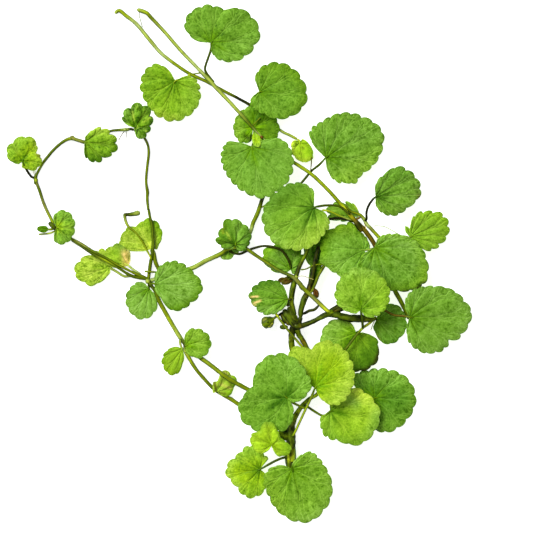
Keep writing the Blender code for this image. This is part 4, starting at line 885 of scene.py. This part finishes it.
leaf("leaf_right_4", "leaf", (410, 317.3), 0,
    [(-112, 7), (-96, 23), (-87, 29), (-77, 34), (-68, 39), (-59, 42.2), (-49, 46), (-42, 47.2), (-37, 47.8),
     (-31, 46), (-28, 50), (-24, 53.4), (-16, 56.5), (0, 61.8), (8, 61.5), (34, 50.2), (58, 37), (88, 26),
     (107, 17.3), (122, 7)], 20, (7.6, -5.2, 1.6, 1),
    [(403.7, 316, 6.6), (394.6, 315.2, 6), (388.2, 312.4, 5.8), (383, 309, 5.6)],
    (YEW, CLOVER, PEA, NETTLE, CLOVER), PEAT, pattern=0.98)
leaf("leaf_right_5", "shaded_leaf", (376.5, 320), -15,
    [(-118, 7), (-95, 12.9), (-78, 22.4), (-65, 26.6), (-51, 29.1), (-34, 29.8), (-18, 31), (0, 30),
     (16, 28.6), (36, 25.4), (60, 17.5), (80, 9)], 10, (2.4, -1.6, 0, 0),
    [(376, 319.2, 3.2), (375, 318.4, 5)],
    (YEW, NETTLE, CLOVER, CLOVER, HOLLY), BARK, crumple=1.2, pattern=1, cut=0.5,
    marks=[((373.5, 322), (374.6, 332), 2.4, BLACK_GREEN, 0.8),
           ((376.4, 335.6), (379.4, 340), 1.6, BARK, 0.7), ((396, 313), (394.6, 334), 1, YEW, 0.7),
           ((380, 322), (391, 333), 1.2, CLOVER, 0.5), ((378, 320), (386, 338), 0.8, CLOVER, 0.5)])

# Leaves of the lower group.
# Eight blades round the trunk. The youngest are yellow-green, and one is still folded in three.
leaf("leaf_lower_1", "shaded_leaf", (356, 333.5), 235,
    [(105, 6), (133, 20.5), (155, 28.8), (176, 34), (205, 38), (235, 40), (261, 38.5), (285, 38), (310, 34.5),
     (328, 26.6), (340, 23.7), (350, 18.8), (362, 9.6), (372, 6)], 14, (2.8, 0.5, 0, 0),
    [(357.5, 332, 3.9), (358.6, 332.7, 5.1)],
    (IVY, MOSS, SAGE, BLACK_GREEN, SHOOT), KHAKI, pattern=0.91, cut=0.7,
    marks=[((379.4, 347), (378.2, 357), 1.6, CHAR, 0.9), ((378, 357), (373.4, 366), 2.7, CHAR, 0.95),
           ((373.4, 366.6), (364, 370.4), 2.4, CHAR, 0.95), ((364, 370.4), (356, 371), 1.7, CHAR, 0.9)])
leaf("leaf_lower_2", "shaded_leaf", (374.5, 398), -3,
    [(-150, 12), (-110, 24), (-81, 34.4), (-66, 37.5), (-30, 40), (0, 41.8), (35, 38), (63, 32.5), (101, 29),
     (138, 30), (160, 14)], 16, (1.6, -0.8, 0, 0.2),
    [(366, 402, 2), (352, 407, 2.2), (338, 412, 2.6), (328, 415.6, 3.2), (323.3, 416.5, 4)],
    (YEW, HOLLY, PINE, CLOVER, PINE), KHAKI, crumple=1.1, pattern=1.27)
leaf("leaf_lower_3", "young_leaf", (330.5, 411), -12,
    [(-150, 11.5), (-130, 16.4), (-100, 27), (-75, 31.5), (-48, 45.2), (-3, 50), (20, 43), (39, 36), (70, 22),
     (100, 9)], 14, (4.6, -0.4, 0, 0),
    [(323.7, 415.8, 4.2), (315.3, 411.9, 3.5), (306.8, 406.2, 3), (304.1, 404.1, 2.1)],
    (YEW, LIME, SHOOT, PRIMROSE, MOSS), BRONZE, pattern=0.8,
    # The pale mark at its upper right is painted light, which lifts the part where the blade above casts its
    # shadow.
    marks=[((326, 412), (330, 434), 7, GRASS, 0.55), ((350, 399), (356, 404), 6, SHOOT, 0.7)])
leaf("leaf_lower_4", "young_leaf", (315.3, 387.4), 50,
    [(-72, 7), (-43, 27), (-7, 36), (18, 41.5), (51, 48), (68, 49), (79, 48), (89, 43.5), (97, 39.2),
     (103, 40.5), (112, 44.8), (125, 44.9), (145, 30), (165, 10)], 17, (6.9, 1.2, -1.4, 0),
    [(311, 398, 6.2), (305.5, 409.6, 5.7), (299.4, 422.6, 5.2), (293.6, 434.6, 4.8), (290.6, 435, 2.2)],
    (SPINACH, SPRING, PEAR, SORREL, STRAW_GREEN), REED, crumple=0.9, pattern=0.81,
    marks=[((286, 352), (300, 358), 6, PEAR, 0.5)])
leaf("leaf_lower_5", "leaf", (286.6, 397.5), 140,
    [(-45, 6), (-18, 12.8), (5, 20.1), (26, 28), (53, 33), (101, 45.5), (133, 43.8), (161, 37), (190, 49.2),
     (213, 49.5), (254, 36), (270, 32), (292, 19.3), (312, 7)], 19, (7.4, -1.4, -2.6, 0),
    [(291.9, 402, 6), (299.6, 406, 4.7), (306, 408.6, 4.7), (302.9, 405.3, 2.1)],
    (BLACK_GREEN, PINE, CLOVER, PINE, CLOVER), KHAKI, pattern=1.15)
leaf("leaf_lower_6", "young_leaf", (271.7, 445), 100,
    [(-76, 4), (-62, 12.2), (-47, 15.5), (-30, 18.5), (-14, 20.6), (5, 16.6), (28, 12), (50, 12.4), (70, 17),
     (88, 22), (103, 24.5), (118, 21.5), (138, 19.6), (154, 23.8), (174, 21.1), (193, 18.2), (216, 14.5),
     (231, 9), (245, 4)], 11, (6.9, 0.5, -0.3, 0),
    [(275, 442, 6.2), (280.6, 438.6, 5), (285, 436.6, 2.2)],
    (SPRING, HAY, APPLE, HAY, CABBAGE), BRACKEN, crumple=1.7, pattern=0.6, veins=5, cut=1)
leaf("leaf_lower_7", "young_leaf", (259.9, 469.4), 190,
    [(50, 13.9), (75, 16), (114, 26.5), (143, 26.9), (182, 34.8), (213, 30.1), (248, 31), (281, 22.7),
     (297, 16.5), (325, 6)], 13, (3.2, -1.4, 0, 0.2),
    [(269.6, 463.9, 3), (276.6, 460.3, 2.8), (284, 457.6, 2.6), (290.4, 457, 2.1)],
    (YEW, SPRING, STRAW_GREEN, MOSS, APPLE), UMBER, crumple=1.15, pattern=1.04)
leaf("leaf_lower_8", "leaf", (292.1, 469), -72,
    [(-205, 8.5), (-170, 28), (-134, 35.5), (-105, 46.2), (-76, 55.5), (-48, 51.8), (-27, 45.5), (1, 34.5),
     (24, 29), (43, 25.8), (67, 11.6), (85, 5)], 19, (5.2, -4, 0, 0.5),
    [(292.2, 463, 4.7), (290.9, 462.2, 2)],
    (IVY, GRASS, SHOOT, GRASS, MOSS), FIR, pattern=1.14)

# Leaves along the loop and the two lower runners.
# Small blades, some still crumpled from the bud, some pale with age, and one that has withered.
leaf("leaf_left_1", "leaf", (155.1, 284.2), -3,
    [(-97, 5), (-82, 8.5), (-69, 15.5), (-61, 28.2), (-53, 34), (-31, 40.5), (-4, 47.8), (19, 40), (52, 30.2),
     (76, 18.6), (98, 6)], 14, (3.6, -0.6, 0, 0),
    [(152.2, 283.2, 3.5), (151.8, 286.4, 2.1)],
    (NETTLE, PEA, IVY, PINE, YEW), BRACKEN, crumple=0.85, pattern=1.05)
leaf("leaf_left_2", "leaf", (149, 288.5), 240,
    [(125, 5), (146, 12), (172, 17.6), (200, 25), (235, 31), (260, 31.5), (296, 19.7), (320, 6)], 10,
     (0.9, 1.2, 0, 0),
    [(148.8, 285.4, 1), (149, 281, 1.1)],
    (IVY, PEA, PEA, CLOVER, PINE), UMBER, crumple=0.95, pattern=0.73)
leaf("leaf_left_3", "leaf", (185.5, 345.5), 12,
    [(-100, 4), (-59, 13.3), (-38, 20.5), (-15, 23.9), (6, 25.9), (28, 25.1), (53, 21.4), (80, 15.7),
     (105, 5)], 9, (2.6, 1.2, 0, 0),
    [(185, 346.6, 2.1), (184.9, 346.5, 0.9)],
    (SPINACH, MEADOW, IVY, MEADOW, GRASS), BARK, crumple=1.15, pattern=0.92, veins=5)
leaf("leaf_left_4", "leaf", (182.2, 349), 235,
    [(150, 4), (172, 10.7), (190, 17.5), (211, 24.1), (222, 26.1), (243, 28.6), (260, 24.9), (273, 14.5),
     (290, 5)], 8, (2.8, -0.8, 0, 0),
    [(180.6, 345.6, 2.6), (180, 340.6, 2.4), (181.8, 339.5, 0.9)],
    (LIME, LIME, SPRING, IVY, LAUREL), LEEK, crumple=1.2, pattern=0.42, veins=5)
leaf("leaf_left_5", "young_leaf", (151.5, 248.5), 125,
    [(-12, 5), (27, 8.3), (46, 15.3), (63, 22), (78, 27.2), (93, 30.4), (107, 29.4), (120, 27.6), (128, 28.4),
     (141, 32.6), (157, 32.8), (170, 33.3), (183, 27.6), (193, 12.9), (205, 5)], 11, (1.3, 0, 0, 0),
    [(151.2, 251, 1), (152.9, 252, 2.3)],
    (PRIMROSE, SORREL, LIME, PEAR, SPINACH), KHAKI, crumple=1.2, pattern=1.1, veins=5)
leaf("leaf_left_6", "young_leaf", (110, 267), 200,
    [(84, 6), (98, 18.3), (112, 20.1), (120, 20.6), (137, 23.2), (150, 25), (170, 33.3), (181, 35.6),
     (192, 36.6), (201, 34.2), (217, 29.3), (228, 26), (240, 17.1), (258, 8.4), (275, 5)], 9,
     (0.65, 0.9, 0, 0),
    [(111.5, 268.8, 0.7), (116.5, 271.6, 0.8), (121, 274.6, 1), (124.6, 276.4, 1.2), (128, 276.2, 1.4),
     (131.5, 276, 1.8)],
    (LIME, PEAR, LIME, IVY, SORREL), LEEK, crumple=1.15, pattern=1.6, veins=5, cut=1.2)
leaf("leaf_left_7", "young_leaf", (128, 265.3), 152,
    [(58, 4), (70, 7), (81, 13.2), (97, 18), (108, 23), (113, 24.8), (122, 24.8), (141, 26.9), (155, 29.3),
     (164, 29), (182, 20), (200, 6)], 8, (1.55, 0, 0, 0),
    [(132.4, 268.8, 1.1), (136.6, 271.6, 1.5), (141, 274.4, 1.8)],
    (PRIMROSE, LIME, SORREL, SORREL, HOLLY), RUSH, crumple=1.3, pattern=0.82, veins=5,
    marks=[((125.5, 254), (127, 264), 4.2, TAN, 0.9)])
leaf("leaf_left_8", "shaded_leaf", (135.2, 127.2), 55,
    [(-95, 5), (-68, 13), (-13, 15.2), (21, 19.2), (52, 24), (85, 24.6), (115, 20.8), (143, 17.4), (170, 6)],
     8, (2.6, 2, 0, 0),
    [(135, 129.4, 1.8), (137.4, 131.8, 0.9)],
    (IVY, FERN, HOLLY, NETTLE, BLACK_GREEN), FIR, crumple=2.4, pattern=2.1, veins=5, cut=2.2,
    # The dark marks paint shade in the folds and along the right margin, which curls down, and the pale ones
    # paint highlights on the ridges between them.
    marks=[((134.6, 124.6), (141.6, 111.6), 1.5, BLACK_GREEN, 0.9),
           ((141.6, 111.6), (139.6, 106.6), 1.2, BLACK_GREEN, 0.7),
           ((150, 109), (152.6, 119), 1.8, BLACK_GREEN, 0.9),
           ((152.6, 119), (149, 130), 2, BLACK_GREEN, 0.85), ((132.6, 112), (134, 120), 1.2, PEAR, 0.6),
           ((135.6, 104.6), (137.6, 108.6), 1.6, APPLE, 0.8), ((143, 122), (150, 118), 1.2, PEAR, 0.65),
           ((136.6, 126.6), (146, 131.4), 1.1, PEAR, 0.6),
           ((128.4, 117), (133.4, 124), 1.2, BLACK_GREEN, 0.6)],
    folds=[
        ((137.6, 128.6), -50, [(-125, 3), (-100, 8), (-75, 10.5), (-45, 11), (-18, 9), (14, 4)], 3,
         (3.3, -0.5, 0, 0), (HOLLY, PINE, CLOVER), 2.2, 1.5, 3)])
leaf("leaf_left_9", "leaf", (85.5, 142), -8,
    [(-104, 6), (-89, 16.5), (-77, 19.7), (-60, 24.1), (-43, 25.6), (-35, 26.8), (-21, 32), (2, 32), (24, 27),
     (44, 21.9), (74, 8.6), (100, 4)], 10, (2.6, 0.4, 0, 0),
    [(85.8, 142.8, 2.2), (86, 142.6, 1.1)],
    (MOSS, MOSS, YEW, PEAR, BLACK_GREEN), KHAKI, crumple=1.9, pattern=1.44, veins=5, cut=1.5)
leaf("leaf_left_10", "leaf", (22.4, 160.9), 50,
    [(-95, 6), (-60, 9.8), (-37, 15.7), (-2, 19.4), (17, 19.6), (29, 15.5), (42, 21.4), (62, 24.8),
     (80, 25.6), (115, 22.4), (148, 19.1), (175, 13.5), (200, 7.5), (225, 4)], 9, (2.4, 0.6, 0, 0),
    [(25, 166, 2), (27.1, 170.8, 1.6), (31.7, 177, 1), (36, 177.4, 0.8)],
    (IVY, SPRING, SORREL, SAGE, LIME), COAL, crumple=1.7, pattern=1.39, veins=5, cut=1.4,
    marks=[((11.6, 161.6), (21, 163.4), 1.3, BLACK_GREEN, 0.85),
           ((37.6, 154.6), (41.6, 158.4), 1.3, BROWN, 0.85)])
leaf("leaf_left_11", "leaf", (57.1, 227.8), 0,
    [(-120, 5), (-103, 13.2), (-76, 17.2), (-38, 18.1), (0, 17.9), (38, 19.4), (71, 18.9), (92, 15.4),
     (107, 12.1), (122, 5)], 8, (2.4, 0.8, 0, 0),
    [(56.6, 228.6, 1.85), (56.5, 229.5, 0.8)],
    (SPRING, SAGE, PINE, PINE, PINE), PEAT, crumple=1.8, pattern=1.88, veins=5, cut=1.4)
leaf("leaf_left_12", "shaded_leaf", (48.6, 229.4), 175,
    [(120, 3), (150, 7), (175, 11.7), (200, 8), (230, 3)], 4, (1.6, 0.2, 0, 0),
    [(50.4, 229.3, 1.6), (51.8, 229.2, 1.6), (55.2, 227.6, 0.8)],
    (BLACK_GREEN, YEW, YEW), KHAKI, veins=3, cut=1.8)
leaf("leaf_left_13", "dying_leaf", (218, 391.5), 62,
    [(-60, 4), (-38, 8), (-22, 12.2), (5, 15), (28, 21.1), (41, 23), (64, 22.8), (79, 20.9), (85, 16.9),
     (94, 10.6), (119, 10.4), (140, 6.6), (165, 5.4), (200, 4.8)], 7, (2.5, 0, 0, 0),
    [(218.4, 392.2, 2.05), (218.5, 392, 0.9)],
    (STRAW_GREEN, SORREL, SORREL, STRAW_GREEN, LEMON_GREEN), KHAKI, crumple=2, pattern=0.5, veins=5, cut=1.5,
    marks=[((213.4, 376), (216, 390), 1.6, BARK, 0.7), ((220, 384), (231, 388.5), 1.3, TAN, 0.4),
           ((229, 377), (231, 385), 1.8, BARK, 0.6), ((217, 374), (226, 373), 1.4, TAN, 0.5),
           ((216.6, 392), (226, 393.6), 1.2, BARK, 0.5)])

# Flower buds.
# A club-shaped bud on a long thin stalk, and a round one beside the crown. Both are closed and green.
stem("bud_left", "runner",
    [(151.4, 259.6, 1.9, 0.45, CITRON), (150.2, 256.6, 2.3, 0.4), (146.4, 249.4, 2.6, 0.4, REED),
     (141.9, 241, 2.7, 0.36, KHAKI), (135.6, 232.6, 2.6, 0.26), (128.6, 226.8, 2.5, 0.52, REED),
     (125.6, 220.8, 2.3, 0.6, LEEK), (124.9, 214.5, 2.1, 0.76, UMBER), (127.4, 214.6, 2.1, 0.7, FIR),
     (131.5, 214.3, 2.1, 0.85, BRONZE), (137.7, 213, 2.1, 1.1, LEEK), (140.4, 212, 2.1, 0.5, RUSH)])
stem("bud_crown", "dying_leaf",
    [(262, 326, 2.6, 0.8, BRONZE), (263.6, 325, 2.6, 1.8), (267.8, 322.3, 2.7, 2.3), (271.6, 319.8, 2.9, 1.7),
     (274, 318.3, 3.1, 0.5, REED), (278.4, 315.4, 3.4, 0.5, COAL), (283, 312.6, 4)],
    [[(268.6, 319.6, 3.4, 0.7, CITRON), (264.6, 319.8, 3.4, 1.2, SEDGE), (262.8, 323, 3.2, 0.7, BRONZE)],
     [(266.2, 325.8, 3.4, 0.7, LEMON), (270.4, 324.8, 3.4, 1.15, SEDGE), (272.6, 320.8, 3.2, 0.7, LEMON)],
     [(267, 321.4, 4.9, 0.35, BRONZE), (268.4, 322.6, 4.9, 0.4, COAL)]],
    knotty=0.12)

# Dried scales on the crown.
# Small brown leaf scales that sheathed the nodes, dry and papery now. They cling where the stems leave
# the crown.
SCALE_FORM = ((-48, 0.25), (-22, 0.75), (0, 1.0), (22, 0.7), (48, 0.25))
scales = new_shape()
for notch, heading, length, height, look in (
    ((293.2, 277.4), 208, 13, 5.2, (PEAT, BARK, UMBER)),
    ((287, 279.4), 190, 9, 4.4, (COAL, BARK, COAL)),
    ((292, 275), 222, 7.5, 5.6, (UMBER, BRONZE, BARK)),
    ((314.4, 288.6), 290, 9.5, 4.9, (BARK, RUST, UMBER)),
    ((289.4, 299), 255, 7.5, 3.6, (BARK, BRONZE, BARK)),
    ((286, 316), 250, 9, 4.2, (BARK, RUST, BARK)),
):
    outline = [(heading + turn, share * length) for turn, share in SCALE_FORM]
    blade(scales, notch, heading, outline, 3, (height, -0.4, 0.5, 0.2), look, crumple=1.8, pattern=0.9, veins=3)
finish_piece("crown_scales", scales, [dying_skin], stands_for=False)

# Fine roots and threads.
# Hair-thin roots sprout from the nodes, and dry threads of old stalks hang on. They are drawn about as
# thin as they are, down to a quarter of a millimetre across.
threads = new_shape()
for hue, radius, way in (
    (KHAKI, 0.14, [(139.4, 9, 0.8), (139.2, 15, 0.5), (140.6, 21, 0.4), (142.4, 27.1, 0.3)]),
    (KHAKI, 0.3, [(189.6, 74.4, 0.9), (196, 73.6, 1.3), (202.4, 72.6, 2)]),
    (PEAT, 0.24, [(311.4, 157, 2.2), (311.4, 163, 3.4), (310.6, 171, 4.6)]),
    (RUSH, 0.15, [(373.6, 226, 5.6), (379, 225.9, 5.2), (385.4, 227, 4.8), (392, 230.4, 4.8),
                  (400, 234.8, 5.2), (408.6, 237.4, 5.4)]),
    (TAN, 0.16, [(363.6, 220.6, 5.6), (365.2, 226, 5.5), (366.4, 231.4, 5.4)]),
    (RUST, 0.3, [(354.8, 220.2, 5.2), (358.4, 218.6, 5.7), (361.4, 216.4, 6)]),
    (STRAW, 0.13, [(297.4, 276.6, 7.6), (303, 276, 7), (309, 278, 6.4), (313.6, 279.6, 6)]),
    (KHAKI, 0.24, [(251.6, 126.8, 3.6), (255.4, 122.6, 3.4), (260.6, 117.4, 3.2)]),
    (KHAKI, 0.3, [(300.6, 269.8, 4.9), (306, 269, 4.9), (312, 266, 4.8), (318.6, 264.4, 4.6),
                  (325, 265, 4.2)]),
    (BARK, 0.15, [(125.4, 130, 0.8), (121.8, 134.6, 0.5), (118.6, 140, 0.3)]),
    (BARK, 0.13, [(125.9, 130.4, 0.8), (126.4, 134, 0.5), (126, 138, 0.3)]),
    (STRAW, 0.12, [(35.6, 178.6, 0.8), (34, 174, 0.5), (32.8, 169.6, 0.4)]),
    (STRAW, 0.12, [(36.2, 178.6, 0.8), (35.2, 174.6, 0.6), (35, 170.8, 0.4)]),
    (BARK, 0.14, [(376.2, 317.6, 5.4), (373, 324, 4.6), (370.8, 330.4, 3.8)]),
    (KHAKI, 0.4, [(144.6, 271.3, 1.9), (150, 271.8, 2.6), (156.6, 272.2, 1.8)]),
):
    tube(threads, [(*place, radius, hue) for place in way], sides=6)
finish_piece("fine_threads", threads, [runner_skin], stands_for=False)

# Table, camera and light.
# The plant lies on a matt white table. The camera looks straight down from 0.70 m, and a broad soft
# light from the upper left is filled in from all round.
TABLE_SIZE = 3.0
TABLE_GREY = (0.9, 0.9, 0.9, 1.0)
TABLE_GLOW = 0.75
WHITE = (1.0, 1.0, 1.0, 1.0)
bpy.ops.mesh.primitive_plane_add(size=TABLE_SIZE, location=(0, 0, 0))
table = bpy.context.object
table.name = "table"
white = bpy.data.materials.new("matt_white_table")
white.use_nodes = True
coat = white.node_tree.nodes["Principled BSDF"]
coat.inputs["Base Color"].default_value = TABLE_GREY
coat.inputs["Roughness"].default_value = 0.9
coat.inputs["Specular IOR Level"].default_value = 0.1
coat.inputs["Emission Color"].default_value = WHITE
coat.inputs["Emission Strength"].default_value = TABLE_GLOW
table.data.materials.append(white)

SENSOR = 36
PLAN_PIXELS = 540
lens = bpy.data.cameras.new("camera")
lens.sensor_width = SENSOR
lens.lens = SENSOR * VIEW_HEIGHT / (PLAN_PIXELS * PIXEL)
lens.clip_start = 0.01
lens.clip_end = 20
camera = bpy.data.objects.new("camera", lens)
camera.location = (
    (VIEW_PIXEL[0] - ORIGIN_PIXEL[0]) * PIXEL, -(VIEW_PIXEL[1] - ORIGIN_PIXEL[1]) * PIXEL, VIEW_HEIGHT,
)
bpy.context.scene.collection.objects.link(camera)
bpy.context.scene.camera = camera

WINDOW_PLACE = (-0.50, 0.50, 0.60)
WINDOW_BREADTH = 35
WINDOW_LIGHT = 3.7
ROOM_LIGHT = 0.40
window = bpy.data.lights.new("window", "SUN")
window.angle = math.radians(WINDOW_BREADTH)
window.energy = WINDOW_LIGHT
window_holder = bpy.data.objects.new("window", window)
window_holder.location = WINDOW_PLACE
window_holder.rotation_euler = (-window_holder.location).to_track_quat("-Z", "Y").to_euler()
bpy.context.scene.collection.objects.link(window_holder)

world = bpy.data.worlds.new("white_room")
bpy.context.scene.world = world
world.use_nodes = True
world.node_tree.nodes["Background"].inputs["Color"].default_value = WHITE
world.node_tree.nodes["Background"].inputs["Strength"].default_value = ROOM_LIGHT
bpy.context.scene.view_settings.view_transform = "Standard"
